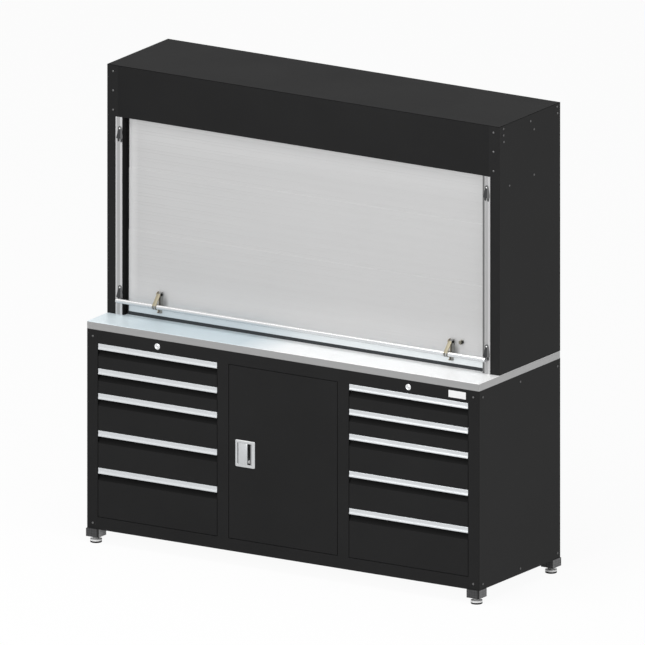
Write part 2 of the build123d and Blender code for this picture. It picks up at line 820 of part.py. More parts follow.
with BuildPart() as guide_seals:
    seal_out = guide_in + seal_overlap
    for side in (-1, 1):
        block(
            side * (seal_out - seal_width),
            side * seal_out,
            canopy_y + guide_front,
            canopy_y + guide_front + seal_thickness,
            worktop_top,
            fascia_z,
        )
        block(
            side * (guide_in - seal_lip),
            side * guide_in,
            guide_face + guide_bevel_depth,
            canopy_y + guide_front + seal_thickness,
            worktop_top,
            fascia_z,
        )
finish(guide_seals, "guide_seals")

with BuildPart() as barrel_brackets:
    plate_y = [y for y, z in plate_screws]
    plate_z = [z for y, z in plate_screws]
    for side in (-1, 1):
        block(
            side * (half - skin - bracket_thickness),
            side * (half - skin),
            min(plate_y) - bracket_margin,
            max(plate_y) + bracket_margin,
            min(plate_z) - bracket_margin,
            max(plate_z) + bracket_head_margin,
        )
        bar_x(
            shaft_radius + turning_fit,
            side * (half - skin - 2 * bracket_thickness),
            side * (half - skin),
            barrel_y,
            barrel_z,
            mode=Mode.SUBTRACT,
        )
        drill(bracket_places[side])
finish(barrel_brackets, "barrel_brackets")

with BuildPart() as bar_catches:
    for side in (-1, 1):
        for travel in (-catch_drop, bar_travel):
            eye_x, low = side * catch_x + catch_shift, bar_z + travel
            eye_z = low + catch_height - catch_eye_radius
            left, right = eye_x - catch_left, eye_x + catch_right
            with BuildSketch(Plane.XZ.offset(-guide_face)):
                with Locations((eye_x, eye_z)):
                    Circle(catch_eye_radius)
                with BuildLine():
                    Polyline(
                        (eye_x - catch_eye_radius, eye_z),
                        (eye_x - catch_eye_radius, eye_z - catch_eye_radius),
                        (left, low + catch_long_leg),
                        (left + catch_short_leg, low + catch_long_leg),
                        (left + catch_short_leg, low),
                        (left + catch_short_leg + catch_leg, low),
                        (left + catch_short_leg + catch_leg, low + catch_long_leg),
                        (right - catch_leg, low + catch_long_leg),
                        (right - catch_leg, low - catch_short_leg),
                        (right, low - catch_short_leg),
                        (right, low + 2 * catch_long_leg),
                        (eye_x + catch_eye_radius, eye_z),
                        close=True,
                    )
                make_face()
            extrude(amount=catch_thickness)
finish(bar_catches, "bar_catches")

# ------------------------------------------------------------------ shutter: three sections in three layers
section_feet = []
foot_z = rail_top
for count in section_slats:
    section_feet.append(foot_z)
    foot_z += count * slat_pitch


def curtain_section(index):
    """Slats of one section: a flat sheet with two shallow grooves to each slat."""
    front = curtain_y + index * layer_step
    low = section_feet[index] - (section_overlap if index else 0.0)
    high = section_feet[index] + section_slats[index] * slat_pitch
    outline = [(front + slat_thickness, high), (front + slat_thickness, low), (front, low)]
    for k in range(section_slats[index]):
        for line in (0.0, slat_line):
            z = section_feet[index] + k * slat_pitch + line
            if z - slat_groove > low:
                outline += [(front, z - slat_groove), (front + slat_groove, z), (front, z + slat_groove)]
    outline.append((front, high))
    with BuildPart() as section:
        prism_x(outline, -curtain_half, curtain_half)
        if index == 0:
            bore, rear = shutter_lock_spigot + turning_fit, front + slat_thickness
            bar_y_way(bore, shutter_lock_x, front, rear, pivot_z, mode=Mode.SUBTRACT)
    return section


for index, node in enumerate(("shutter_bottom_section", "shutter_middle_section", "shutter_top_section")):
    finish(curtain_section(index), node)

seal_in = seal_out - seal_width
rail_half = seal_in - rail_end_gap
rail_foot = worktop_top + bottom_seal_height

with BuildPart() as shutter_bottom_rail:
    block(-curtain_half, curtain_half, curtain_y, curtain_y + slat_thickness, rail_foot, rail_top)
    block(-rail_half, rail_half, curtain_y - rail_proud, curtain_y, rail_foot, rail_top)
    front_edges = shutter_bottom_rail.edges().filter_by(Axis.X).group_by(Axis.Y)[0]
    fillet(front_edges, 0.3 * rail_proud)
finish(shutter_bottom_rail, "shutter_bottom_rail")

with BuildPart() as shutter_bottom_seal:
    seal_y0, seal_y1 = curtain_y - bottom_seal_proud, curtain_y
    block(-rail_half, rail_half, seal_y0, seal_y1 + slat_thickness, worktop_top + seat_gap, rail_foot)
finish(shutter_bottom_seal, "shutter_bottom_seal")

# ------------------------------------------------------------------ brackets, arms, lift bar, shutter lock
rail_face = curtain_y - rail_proud
ear_reach = arm_width / 2 + ear_gap

with BuildPart() as arm_brackets:
    for side in (-1, 1):
        x = side * arm_x
        wide = ear_reach + ear_thickness
        foot_low = pivot_z - bracket_drop
        block(x - wide, x + wide, rail_face - ear_thickness, rail_face, foot_low, rail_top + ear_thickness)
        block(x - wide, x + wide, rail_face, curtain_y - ear_thickness, rail_top, rail_top + ear_thickness)
        block(x - wide, x + wide, curtain_y - ear_thickness, curtain_y, rail_top, pivot_z)
        block(x - wide, x + wide, rail_face - bracket_lip, rail_face, foot_low, foot_low + ear_thickness)
        for way in (-1, 1):
            prism_x(
                [
                    (curtain_y, pivot_z + pivot_radius + pivot_wall),
                    (pivot_y, pivot_z + pivot_radius + pivot_wall),
                    (pivot_y - pivot_radius - pivot_wall, pivot_z),
                    (pivot_y, pivot_z - pivot_radius - pivot_wall),
                    (curtain_y, pivot_z - 2 * (pivot_radius + pivot_wall)),
                ],
                x + way * ear_reach,
                x + way * wide,
            )
        bar_x(pivot_radius, x - wide - 1, x + wide + 1, pivot_y, pivot_z)
finish(arm_brackets, "arm_brackets")

with BuildPart() as lift_bar_arms:
    reach_y, reach_z = bar_y - pivot_y, bar_z - pivot_z
    arm_length = math.hypot(reach_y, reach_z)
    across_y = 0.5 * arm_strap * reach_z / arm_length
    across_z = -0.5 * arm_strap * reach_y / arm_length
    bar_eye = bar_radius + turning_fit + arm_eye_wall
    for side in (-1, 1):
        x0, x1 = side * arm_x - arm_width / 2, side * arm_x + arm_width / 2
        bar_x(pivot_radius + turning_fit + pivot_wall, x0, x1, pivot_y, pivot_z)
        prism_x(
            [
                (pivot_y + across_y, pivot_z + across_z),
                (bar_y + across_y, bar_z + across_z),
                (bar_y - across_y, bar_z - across_z),
                (pivot_y - across_y, pivot_z - across_z),
            ],
            x0,
            x1,
        )
        bar_x(bar_eye, x0 + arm_finger, x1 - arm_finger, bar_y, bar_z, mode=Mode.SUBTRACT)
        for finger in (x0, x1 - arm_finger):
            bar_x(bar_eye, finger, finger + arm_finger, bar_y, bar_z)
        bar_x(bar_radius + turning_fit, x0 - 1, x1 + 1, bar_y, bar_z, mode=Mode.SUBTRACT)
        bar_x(pivot_radius + turning_fit, x0 - 1, x1 + 1, pivot_y, pivot_z, mode=Mode.SUBTRACT)
finish(lift_bar_arms, "lift_bar_arms")

with BuildPart() as lift_bar:
    bar_x(bar_radius, -bar_half, bar_half, bar_y, bar_z)
    fillet(lift_bar.edges().filter_by(GeomType.CIRCLE), 0.25 * bar_radius)
finish(lift_bar, "lift_bar")

with BuildPart() as shutter_lock:
    lock_front = curtain_y - shutter_lock_proud
    bar_y_way(shutter_lock_radius, shutter_lock_x, lock_front, curtain_y - seat_gap, pivot_z)
    fillet(shutter_lock.edges().filter_by(GeomType.CIRCLE).group_by(Axis.Y)[0], 1.5)
    bar_y_way(shutter_lock_spigot, shutter_lock_x, curtain_y - 1, curtain_y + slat_thickness, pivot_z)
    slot_half = key_slot_height / 2
    block(
        shutter_lock_x - key_slot_width / 2,
        shutter_lock_x + key_slot_width / 2,
        lock_front,
        lock_front + key_slot_depth,
        pivot_z - slot_half,
        pivot_z + slot_half,
        mode=Mode.SUBTRACT,
    )
finish(shutter_lock, "shutter_lock")

# ------------------------------------------------------------------ roller barrel
barrel_half = half - barrel_end
wound_half = half - wound_end

with BuildPart() as barrel_tube:
    bar_x(barrel_radius, -barrel_half, barrel_half, barrel_y, barrel_z)
    hollow = barrel_half - 3 * barrel_wall
    bar_x(barrel_radius - barrel_wall, -hollow, hollow, barrel_y, barrel_z, mode=Mode.SUBTRACT)
    for side in (-1, 1):
        bar_x(shaft_radius, side * hollow, side * (half - skin - seat_gap), barrel_y, barrel_z)

with BuildPart() as wound_slats:
    with BuildSketch(Plane.YZ.offset(-wound_half)):
        with Locations((barrel_y, barrel_z)):
            RegularPolygon(wound_radius, wound_facets)
            Circle(barrel_radius + seat_gap, mode=Mode.SUBTRACT)
    extrude(amount=2 * wound_half)

roller_barrel = Compound(children=[barrel_tube.part.solid(), wound_slats.part.solid()])
roller_barrel.label = "roller_barrel"
export_step(roller_barrel, "parts/roller_barrel.step")
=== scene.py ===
"""Looks of the roll front tool cabinet: finishes, turned and pressed fittings, light and camera. Metres."""
import math

import bpy
from mathutils import Matrix, Vector


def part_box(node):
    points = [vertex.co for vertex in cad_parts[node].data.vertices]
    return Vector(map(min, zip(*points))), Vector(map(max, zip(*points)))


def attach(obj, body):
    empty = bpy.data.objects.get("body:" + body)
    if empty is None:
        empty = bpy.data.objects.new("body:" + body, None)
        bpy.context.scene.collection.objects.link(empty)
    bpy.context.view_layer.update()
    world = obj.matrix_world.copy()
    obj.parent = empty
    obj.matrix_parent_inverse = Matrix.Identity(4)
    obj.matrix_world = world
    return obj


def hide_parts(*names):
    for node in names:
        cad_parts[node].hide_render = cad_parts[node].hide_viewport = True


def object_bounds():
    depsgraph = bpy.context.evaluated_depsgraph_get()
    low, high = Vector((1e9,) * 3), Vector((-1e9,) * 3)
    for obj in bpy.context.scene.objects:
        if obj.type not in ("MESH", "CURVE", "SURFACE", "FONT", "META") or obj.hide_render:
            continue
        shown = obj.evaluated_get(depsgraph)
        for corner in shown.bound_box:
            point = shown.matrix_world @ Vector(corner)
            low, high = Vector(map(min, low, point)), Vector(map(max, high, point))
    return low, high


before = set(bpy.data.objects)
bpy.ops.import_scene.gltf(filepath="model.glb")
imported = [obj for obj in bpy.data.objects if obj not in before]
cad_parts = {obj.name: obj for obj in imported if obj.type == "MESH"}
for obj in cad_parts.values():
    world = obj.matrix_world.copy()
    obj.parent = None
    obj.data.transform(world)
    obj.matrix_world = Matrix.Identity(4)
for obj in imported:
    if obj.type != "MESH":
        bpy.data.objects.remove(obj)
cad_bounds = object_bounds()
MM = 0.001
ROOF = cad_bounds[1][2]
WORKTOP_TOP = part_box("worktop")[1][2]
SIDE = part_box("base_right_side")[1][0]
BLOCK_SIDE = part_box("leg_blocks")[1][0]
BLOCK_WIDTH = 57.4 * MM
BLOCK_CORNER = 0.3006  # the leg blocks' corners, painted dark as shade, lie beyond this, to the front and to the rear
ARM_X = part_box("arm_brackets")[1][0] - 11.3 * MM  # middle of the right arm
LEFT_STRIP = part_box("guide_seals")[0][0] + 24.6 * MM  # right edge of the left black strip
STRIP_ON_CURTAIN = 5.6 * MM  # the black goes on over the curtain's edge
STRIP_ON_RAIL = 9.6 * MM  # and over the bottom rail's end
SEAL_FRONT = -0.1490  # the strips' narrow fronts lie before this
GUIDE_GROOVE = 0.8445  # the guides' long grooves lie outside this
FRONT_POCKET = (-0.2996, -0.2840)  # depth of the finger recesses, from front to back, where shade is painted


# ---------------------------------------------------------------- shader arithmetic
class Signal:
    """One output of a finish's nodes, with arithmetic on it."""

    def __init__(self, finish, socket):
        self.finish, self.socket = finish, socket

    def reckon(self, operation, other, turned=False):
        pair = (other, self) if turned else (self, other)
        return self.finish.node("ShaderNodeMath", {"operation": operation}, pair)

    def __add__(self, other):
        return self.reckon("ADD", other)

    def __sub__(self, other):
        return self.reckon("SUBTRACT", other)

    def __mul__(self, other):
        return self.reckon("MULTIPLY", other)

    def __truediv__(self, other):
        return self.reckon("DIVIDE", other)

    def __rsub__(self, other):
        return self.reckon("SUBTRACT", other, turned=True)

    def __rtruediv__(self, other):
        return self.reckon("DIVIDE", other, turned=True)

    def __gt__(self, other):
        return self.reckon("GREATER_THAN", other)

    def __lt__(self, other):
        return self.reckon("LESS_THAN", other)

    def __abs__(self):
        return self.reckon("ABSOLUTE", 0.0)

    __radd__ = __add__
    __rmul__ = __mul__


class Finish:
    """A material that is put together node by node."""

    def __init__(self, name):
        self.material = bpy.data.materials.new(name)
        self.material.use_nodes = True
        self.tree = self.material.node_tree
        self.tree.nodes.clear()

    def node(self, kind, settings=None, values=None, output=0):
        made = self.tree.nodes.new(kind)
        for key, setting in (settings or {}).items():
            if key == "stops":
                ramp = made.color_ramp.elements
                while len(ramp) < len(setting):
                    ramp.new(0.5)
                for stop, (place, shade) in zip(ramp, setting):
                    stop.position = place
                    stop.color = (*shade, 1.0) if isinstance(shade, tuple) else (shade, shade, shade, 1.0)
            else:
                setattr(made, key, setting)
        pairs = values.items() if isinstance(values, dict) else enumerate(values or ())
        for key, value in pairs:
            if isinstance(value, Signal):
                self.tree.links.new(value.socket, made.inputs[key])
            elif isinstance(value, tuple) and made.inputs[key].type == "RGBA":
                made.inputs[key].default_value = (*value, 1.0)
            else:
                made.inputs[key].default_value = value
        return Signal(self, made.outputs[output])

    def place(self, stretch=(1.0, 1.0, 1.0)):
        """Object coordinates, stretched for grain that runs one way."""
        spot = self.node("ShaderNodeTexCoord", output="Object")
        return self.node("ShaderNodeMapping", {"vector_type": "POINT"}, {"Vector": spot, "Scale": stretch})

    def axis(self, which):
        spot = self.node("ShaderNodeTexCoord", output="Object")
        return self.node("ShaderNodeSeparateXYZ", values={0: spot}, output=which)

    def noise(self, scale, detail=3.0, rough=0.5, stretch=(1.0, 1.0, 1.0)):
        sizes = {"Vector": self.place(stretch), "Scale": scale, "Detail": detail, "Roughness": rough}
        return self.node("ShaderNodeTexNoise", values=sizes, output="Fac")

    def ramp(self, factor, *stops):
        return self.node("ShaderNodeValToRGB", {"stops": list(stops)}, {0: factor}, output="Color")

    def mix(self, factor, one, other):
        values = {0: factor, 6: one, 7: other}
        return self.node("ShaderNodeMix", {"data_type": "RGBA"}, values, output=2)

    def bump(self, height, depth, strength=0.5):
        return self.node("ShaderNodeBump", values={"Strength": strength, "Distance": depth, "Height": height})

    def clamp(self, signal):
        return self.node("ShaderNodeClamp", values={0: signal})

    def surface(self, **values):
        named = {key.replace("_", " ").title().replace("Ior", "IOR"): value for key, value in values.items()}
        return self.node("ShaderNodeBsdfPrincipled", values=named)

    def done(self, **values):
        return self.output(self.surface(**values))

    def output(self, surface):
        made = self.tree.nodes.new("ShaderNodeOutputMaterial")
        self.tree.links.new(surface.socket, made.inputs["Surface"])
        return self.material


def spread(low, high, signal):
    """A signal from 0 to 1 brought between two values."""
    return signal * (high - low) + low


def right_of_arm(x):
    """How far to the right of its own arm's middle a point lies, on either half."""
    return (x - ARM_X) * (x > 0.0) + (x + ARM_X) * (x < 0.0)


# ---------------------------------------------------------------- finishes
def powder_coat(name, colour, lighter, gloss=0.10, pocket=None):
    """Satin powder coat: fine orange peel, cloudy gloss, the right flank painted darker as shade. A pocket between two
    Y gets painted shade, darkest at its back.
    """
    f = Finish(name)
    cloud = f.noise(3.0, 4.0, 0.6)
    peel = f.noise(620.0, 2.0, 0.6)
    speck = f.noise(1700.0, 1.0, 0.5)
    tone = f.mix(f.ramp(cloud, (0.35, 0.0), (0.7, 1.0)), colour, lighter)
    # painted shade: the right flank's colour is pulled towards black
    flank = f.axis("X") > SIDE - 0.6 * MM
    coat = f.surface(
        base_color=f.mix(flank * 0.4, tone, (0.004, 0.004, 0.004)),
        roughness=spread(0.38, 0.48, cloud) + speck * 0.06,
        normal=f.bump(peel + speck * 0.4, 0.00022, 0.32),
        specular_ior_level=gloss,
    )
    if not pocket:
        return f.output(coat)
    # painted shade in the finger recesses: a black, nearly matte surface is mixed in, more of it towards the back
    depth = f.axis("Y")
    deep = f.clamp((depth - pocket[0]) / (pocket[1] - pocket[0]))
    inside = (depth > pocket[0]) * (depth < pocket[1] + 0.0012)
    painted_recess_shade = f.surface(base_color=(0.004, 0.004, 0.004), roughness=0.7, specular_ior_level=0.06)
    return f.output(f.node("ShaderNodeMixShader", values=((deep * 0.3 + 0.68) * inside, coat, painted_recess_shade)))


def bright_worktop():
    """Stainless sheet: a fine lengthwise grain on top, painted paler at both ends as reflected light, duller folded
    edges.
    """
    f = Finish("worktop_stainless")
    grain = f.noise(1.0, 4.0, 0.6, (5.0, 500.0, 500.0))
    smear = f.noise(5.0, 3.0, 0.6)
    top = f.axis("Z") > WORKTOP_TOP - 1.4 * MM
    flank = f.axis("X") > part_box("worktop")[1][0] - 0.3 * MM
    # painted reflection: the top is painted near white to the right and paler at the far left end
    right = f.clamp((f.axis("X") + 0.22) / 0.20)
    far = f.clamp((-0.68 - f.axis("X")) / 0.10)
    sheet = f.mix(right, f.mix(grain, (0.60, 0.69, 0.735), (0.67, 0.76, 0.80)), (0.985, 0.99, 0.99))
    sheet = f.mix(far * 0.6, sheet, (0.84, 0.93, 0.97))
    brushed = f.noise(1.0, 3.0, 0.5, (4.0, 4.0, 300.0))
    fold = f.mix(brushed, (0.30, 0.30, 0.30), (0.34, 0.34, 0.34))
    edge = f.mix(flank, fold, f.mix(brushed, (0.42, 0.42, 0.42), (0.46, 0.46, 0.46)))
    return f.done(
        base_color=f.mix(top, edge, sheet),
        metallic=0.12,
        roughness=spread(0.34, 0.46, smear * 0.5 + grain * 0.5),
        normal=f.bump(grain, 0.00004, 0.15),
    )


def plain_metal(name, dark, light, rough, stretch=(1.0, 1.0, 1.0), grain=500.0, metallic=1.0, depth=0.00006):
    """Metal with a grain along the stretched way and slow changes of tone and gloss."""
    f = Finish(name)
    fine = f.noise(grain, 3.0, 0.6, stretch)
    slow = f.noise(9.0, 3.0, 0.55)
    tone = f.mix(fine * 0.55 + slow * 0.45, dark, light)
    return f.done(
        base_color=tone,
        metallic=metallic,
        roughness=spread(rough[0], rough[1], slow * 0.5 + fine * 0.5),
        normal=f.bump(fine, depth, 0.3),
    )


def moulded(name, dark, light, rough, grain=900.0, depth=0.00012, gloss=0.35):
    """Moulded plastic or rubber with a fine spark-eroded grain."""
    f = Finish(name)
    fine = f.noise(grain, 2.0, 0.7)
    slow = f.noise(14.0, 3.0, 0.5)
    return f.done(
        base_color=f.mix(slow * 0.7 + fine * 0.3, dark, light),
        roughness=spread(rough[0], rough[1], fine),
        normal=f.bump(fine, depth, 0.45),
        specular_ior_level=gloss,
    )


def ribbed_block():
    """Grey moulding of the leg blocks: fine upright ribs, flanks painted paler as light (the inner one most) and
    rounded corners painted dark as shade.
    """
    f = Finish("ribbed_grey_moulding")
    x, y, z = f.axis("X"), f.axis("Y"), f.axis("Z")
    rib = f.node("ShaderNodeMath", {"operation": "SINE"}, ((x + y) * (2 * math.pi / 0.0115), 0.0)) * 0.5 + 0.5
    level = f.node("ShaderNodeMath", {"operation": "SINE"}, (z * (2 * math.pi / 0.0105), 0.0)) * 0.5 + 0.5
    fine = f.noise(1100.0, 2.0, 0.6)
    inside = BLOCK_SIDE - BLOCK_WIDTH
    outer, inner = abs(x - BLOCK_SIDE) < 1.3 * MM, abs(x + inside) < 1.3 * MM
    near = (abs(x - BLOCK_SIDE + 3.0 * MM) < 4.2 * MM) + (abs(x + inside + 3.0 * MM) < 4.2 * MM)
    # painted shade on the rounded corners
    corner = near * (abs(y) > BLOCK_CORNER)
    flank = f.clamp(outer + inner)
    pattern = rib * 0.5 + level * 0.3 + fine * 0.2
    front = f.mix(pattern, (0.040, 0.040, 0.041), (0.082, 0.082, 0.084))
    # painted light on the flanks, palest on the inner flank that sits in the cabinet's shade
    pale = f.mix(inner, f.mix(pattern, (0.16, 0.16, 0.162), (0.27, 0.27, 0.275)), (0.42, 0.42, 0.425))
    return f.done(
        base_color=f.mix(f.clamp(corner), f.mix(flank, front, pale), (0.006, 0.006, 0.006)),
        roughness=spread(0.45, 0.65, fine),
        normal=f.bump(pattern, 0.0004, 0.5),
        specular_ior_level=0.3,
    )


def slope_of_light(name, left, right, rough, metallic):
    """Anodised rail: a painted slope of reflected light, bluish and darker to the left, paler to the right; a fine
    lengthwise grain, a black left end.
    """
    f = Finish(name)
    cap = f.axis("X") < LEFT_STRIP + STRIP_ON_RAIL
    fine = f.noise(1.0, 3.0, 0.6, (12.0, 700.0, 700.0))
    # painted reflection: the tone goes from bluish dark on the left to pale on the right
    along = f.clamp((f.axis("X") + 0.35) / 0.55)
    tone = f.mix(along, left, right)
    return f.done(
        base_color=f.mix(cap, f.mix(fine * 0.16, tone, (0.30, 0.31, 0.32)), (0.010, 0.010, 0.010)),
        metallic=(1.0 - cap) * metallic,
        roughness=spread(rough[0], rough[1], fine),
        normal=f.bump(fine, 0.00004, 0.25),
    )


def guide_extrusion():
    """Anodised guides: bright lands, the floor of the long groove in the face painted darker as shade, grain up the
    guide.
    """
    f = Finish("anodised_extrusion")
    fine = f.noise(700.0, 3.0, 0.6, (1.0, 1.0, 0.02))
    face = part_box("shutter_guides")[0][1]
    y = f.axis("Y")
    # painted shade on the groove's floor
    floor = (y > face + 0.4 * MM) * (y < face + 1.4 * MM) * (abs(f.axis("X")) > GUIDE_GROOVE)
    land = f.mix(fine, (0.47, 0.47, 0.474), (0.53, 0.53, 0.534))
    return f.done(
        base_color=f.mix(floor, land, f.mix(fine, (0.35, 0.35, 0.352), (0.40, 0.40, 0.402))),
        metallic=0.6,
        roughness=spread(0.34, 0.5, fine),
        normal=f.bump(fine, 0.00005, 0.3),
    )


def guide_rubber():
    """Black strip of the guides; its narrow front on the right is painted grey as a sheen of light."""
    f = Finish("guide_seal")
    fine = f.noise(700.0, 2.0, 0.7)
    # painted sheen: the right strip's narrow front is painted grey
    painted_shading = (f.axis("X") > 0.0) * (f.axis("Y") < SEAL_FRONT)
    black = f.mix(fine, (0.006, 0.006, 0.006), (0.009, 0.009, 0.009))
    return f.done(
        base_color=f.mix(painted_shading, black, f.mix(fine, (0.13, 0.13, 0.13), (0.17, 0.17, 0.17))),
        roughness=spread(0.6, 0.8, fine),
        normal=f.bump(fine, 0.0001, 0.4),
        specular_ior_level=0.05,
    )


def bracket_plate():
    """Passivated bracket behind each arm: pale at its left, a fold in the middle painted dark and the part to the right
    of it painted grey, both as shade.
    """
    f = Finish("brown_passivated")
    fine = f.noise(160.0, 3.0, 0.6)
    x = right_of_arm(f.axis("X"))
    # painted shade: the fold dark, the part to the right of it grey
    fold = (x > -7.1 * MM) * (x < -0.8 * MM)
    right = x > -0.8 * MM
    pale = f.mix(fine, (0.37, 0.335, 0.265), (0.46, 0.42, 0.34))
    left = f.mix(f.clamp(fold), pale, f.mix(fine, (0.060, 0.052, 0.040), (0.10, 0.09, 0.07)))
    return f.done(
        base_color=f.mix(right, left, f.mix(fine, (0.22, 0.22, 0.21), (0.28, 0.28, 0.27))),
        metallic=0.2,
        roughness=spread(0.36, 0.5, fine),
        normal=f.bump(fine, 0.00006, 0.3),
        specular_ior_level=0.2,
    )


def foot_cup():
    """Bright pressed cup of a levelling foot: a shoulder on top painted dark as shade, a grey cone in its middle."""
    f = Finish("foot_cup")
    fine = f.noise(600.0, 2.0, 0.5)
    # painted shade: the shoulder below the cone is dark
    high = f.clamp((f.axis("Z") - 14.0 * MM) / (0.6 * MM))
    cone = f.axis("Z") > 15.0 * MM
    top = f.mix(cone, (0.07, 0.07, 0.07), (0.80, 0.80, 0.80))
    return f.done(
        base_color=f.mix(high, f.mix(fine, (0.80, 0.80, 0.80), (0.88, 0.88, 0.88)), top),
        metallic=0.15,
        roughness=spread(0.25, 0.4, fine),
        normal=f.bump(fine, 0.00003, 0.2),
    )


def catch_moulding():
    """Dark moulding of the bar catches, painted paler along their right halves as light."""
    f = Finish("catch_dark_moulding")
    fine = f.noise(900.0, 2.0, 0.6)
    x = f.axis("X")
    low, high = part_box("bar_catches")
    # painted light on the right halves, leaving out the legs
    painted_shading = (x > high[0] - 9.5 * MM) + (x > low[0] + 19.5 * MM) * (x < 0.0)
    z = f.axis("Z")
    legs = (z < low[2] + 16 * MM) + (z > high[2] - 64 * MM) * (z < high[2] - 51 * MM)
    painted_shading = f.clamp(painted_shading) * (1.0 - legs)
    dark = f.mix(fine, (0.030, 0.031, 0.032), (0.052, 0.053, 0.055))
    return f.done(
        base_color=f.mix(painted_shading, dark, f.mix(fine, (0.10, 0.10, 0.102), (0.15, 0.15, 0.152))),
        roughness=spread(0.4, 0.6, fine),
        normal=f.bump(fine, 0.00012, 0.4),
        specular_ior_level=0.2,
    )


def bright_bar():
    """Drawn steel tube: a near-white highlight painted along its top, its own grey below."""
    f = Finish("bright_bar")
    fine = f.noise(800.0, 3.0, 0.6, (0.03, 1.0, 1.0))
    low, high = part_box("lift_bar")
    middle = (low[2] + high[2]) / 2
    # painted highlight: a near-white band along the top of the tube
    painted_highlight_band = f.clamp((f.axis("Z") - middle - 3.3 * MM) / (1.6 * MM))
    return f.done(
        base_color=f.mix(painted_highlight_band, f.mix(fine, (0.57, 0.585, 0.60), (0.63, 0.645, 0.66)), (0.98, 0.98, 0.98)),
        metallic=0.8,
        roughness=spread(0.14, 0.22, fine),
        normal=f.bump(fine, 0.00004, 0.2),
    )


def brass_lock():
    """Small shutter lock of yellow metal with a look of wear, its right flank painted dark as shade."""
    f = Finish("brass_lock")
    fine = f.noise(200.0, 3.0, 0.6)
    low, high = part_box("shutter_lock")
    # painted shade on the right flank
    flank = f.clamp((f.axis("X") - (low[0] + high[0]) / 2 - 3.0 * MM) / (2.0 * MM))
    return f.done(
        base_color=f.mix(flank, f.mix(fine, (0.20, 0.19, 0.15), (0.31, 0.295, 0.245)), (0.012, 0.012, 0.008)),
        metallic=0.7,
        roughness=spread(0.2, 0.32, fine),
        normal=f.bump(fine, 0.00006, 0.3),
    )


def handle_slope():
    """Inner slope of the door handle, painted dark as shade at its deep side, bright at the bezel."""
    f = Finish("handle_slope")
    fine = f.noise(900.0, 2.0, 0.6)
    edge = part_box("door_handle_dish")[0][0] + 73 * MM
    # painted shade: dark at the deep side, turning to silver towards the bezel
    lit = f.clamp((f.axis("X") - edge + 5.0 * MM) / (9.0 * MM))
    return f.done(
        base_color=f.mix(lit, (0.03, 0.03, 0.031), f.mix(fine, (0.54, 0.54, 0.55), (0.60, 0.60, 0.61))),
        metallic=0.4,
        roughness=spread(0.3, 0.45, fine),
        normal=f.bump(fine, 0.00004, 0.3),
        specular_ior_level=0.2,
    )


def handle_silver():
    """Silver of the door handle, with a highlight painted along the top edge of its bezel and painted shade beside the
    pan.
    """
    f = Finish("handle_silver")
    fine = f.noise(900.0, 3.0, 0.6)
    slow = f.noise(9.0, 3.0, 0.55)
    low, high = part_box("door_handle_dish")
    x, z = f.axis("X"), f.axis("Z")
    # painted highlight: near white along the top edge of the bezel
    painted_highlight_band = (z > high[2] - 3.4 * MM) * (1.0 - f.clamp(abs(x - low[0] - 45 * MM) / (60 * MM)))
    beside_pan = (x > low[0] + 72 * MM) * (abs(z - (low[2] + high[2]) / 2) < 43 * MM)
    # painted shade on the bezel beside the pan's edge
    painted_shade_beside_pan = f.clamp(1.0 - (x - low[0] - 72.5 * MM) / (5.5 * MM)) * beside_pan
    tone = f.mix(fine * 0.55 + slow * 0.45, (0.53, 0.54, 0.55), (0.62, 0.63, 0.64))
    return f.done(
        base_color=f.mix(painted_highlight_band, f.mix(painted_shade_beside_pan * 0.7, tone, (0.14, 0.14, 0.14)), (0.98, 0.98, 0.98)),
        metallic=0.7,
        roughness=spread(0.28, 0.4, slow * 0.5 + fine * 0.5),
        normal=f.bump(fine, 0.00006, 0.3),
    )


def slat_paint():
    """Silver grey coating of the slats: slow clouds, long streaks and a soft fleck.

    It is painted paler as light at the laps, at the top, at the foot and to the left, painted with the arms' shadows
    beside the arms, black at its left edge.
    """
    f = Finish("slat_silver")
    fleck = f.noise(1500.0, 2.0, 0.7)
    cloud = f.noise(2.5, 3.0, 0.5)
    streak = f.noise(1.0, 2.0, 0.5, (3.0, 60.0, 60.0))
    z = f.axis("Z")
    first, second = [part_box(f"shutter_{name}_section")[1][2] for name in ("bottom", "middle")]
    # painted light: paler at the laps, the top, the foot and to the left
    lap = f.clamp((abs(z - first) < 2.6 * MM) + (abs(z - second) < 2.6 * MM))
    high = f.clamp((z - ROOF + 0.330) / 0.11)
    low = f.clamp((WORKTOP_TOP + 0.190 - z) / 0.13)
    x = f.axis("X")
    side = f.clamp((LEFT_STRIP + 0.050 - x) / 0.045)
    tone = f.mix(cloud * 0.5 + streak * 0.3 + fleck * 0.2, (0.48, 0.48, 0.482), (0.53, 0.53, 0.53))
    pale = f.mix(f.clamp(lap * 0.5 + high * 0.75 + low * 0.6), tone, (0.61, 0.61, 0.612))
    beside = right_of_arm(x)
    # painted shadow of each arm on the curtain, to the right of it and fading upwards
    painted_shading = f.clamp((38 * MM - beside) / (16 * MM)) * (beside > 0.0) * f.clamp((WORKTOP_TOP + 0.108 - z) / 0.035)
    pale = f.mix(painted_shading * 0.7, pale, (0.17, 0.17, 0.165))
    pale = f.mix(side * 0.8, pale, (0.72, 0.72, 0.722))
    return f.done(
        base_color=f.mix(x < LEFT_STRIP + STRIP_ON_CURTAIN, pale, (0.012, 0.012, 0.012)),
        metallic=0.25,
        roughness=spread(0.38, 0.5, cloud * 0.6 + fleck * 0.4),
        normal=f.bump(fleck, 0.00004, 0.2),
    )


BLACK = powder_coat("black_powder_coat", (0.0120, 0.0120, 0.0122), (0.0138, 0.0138, 0.0140))
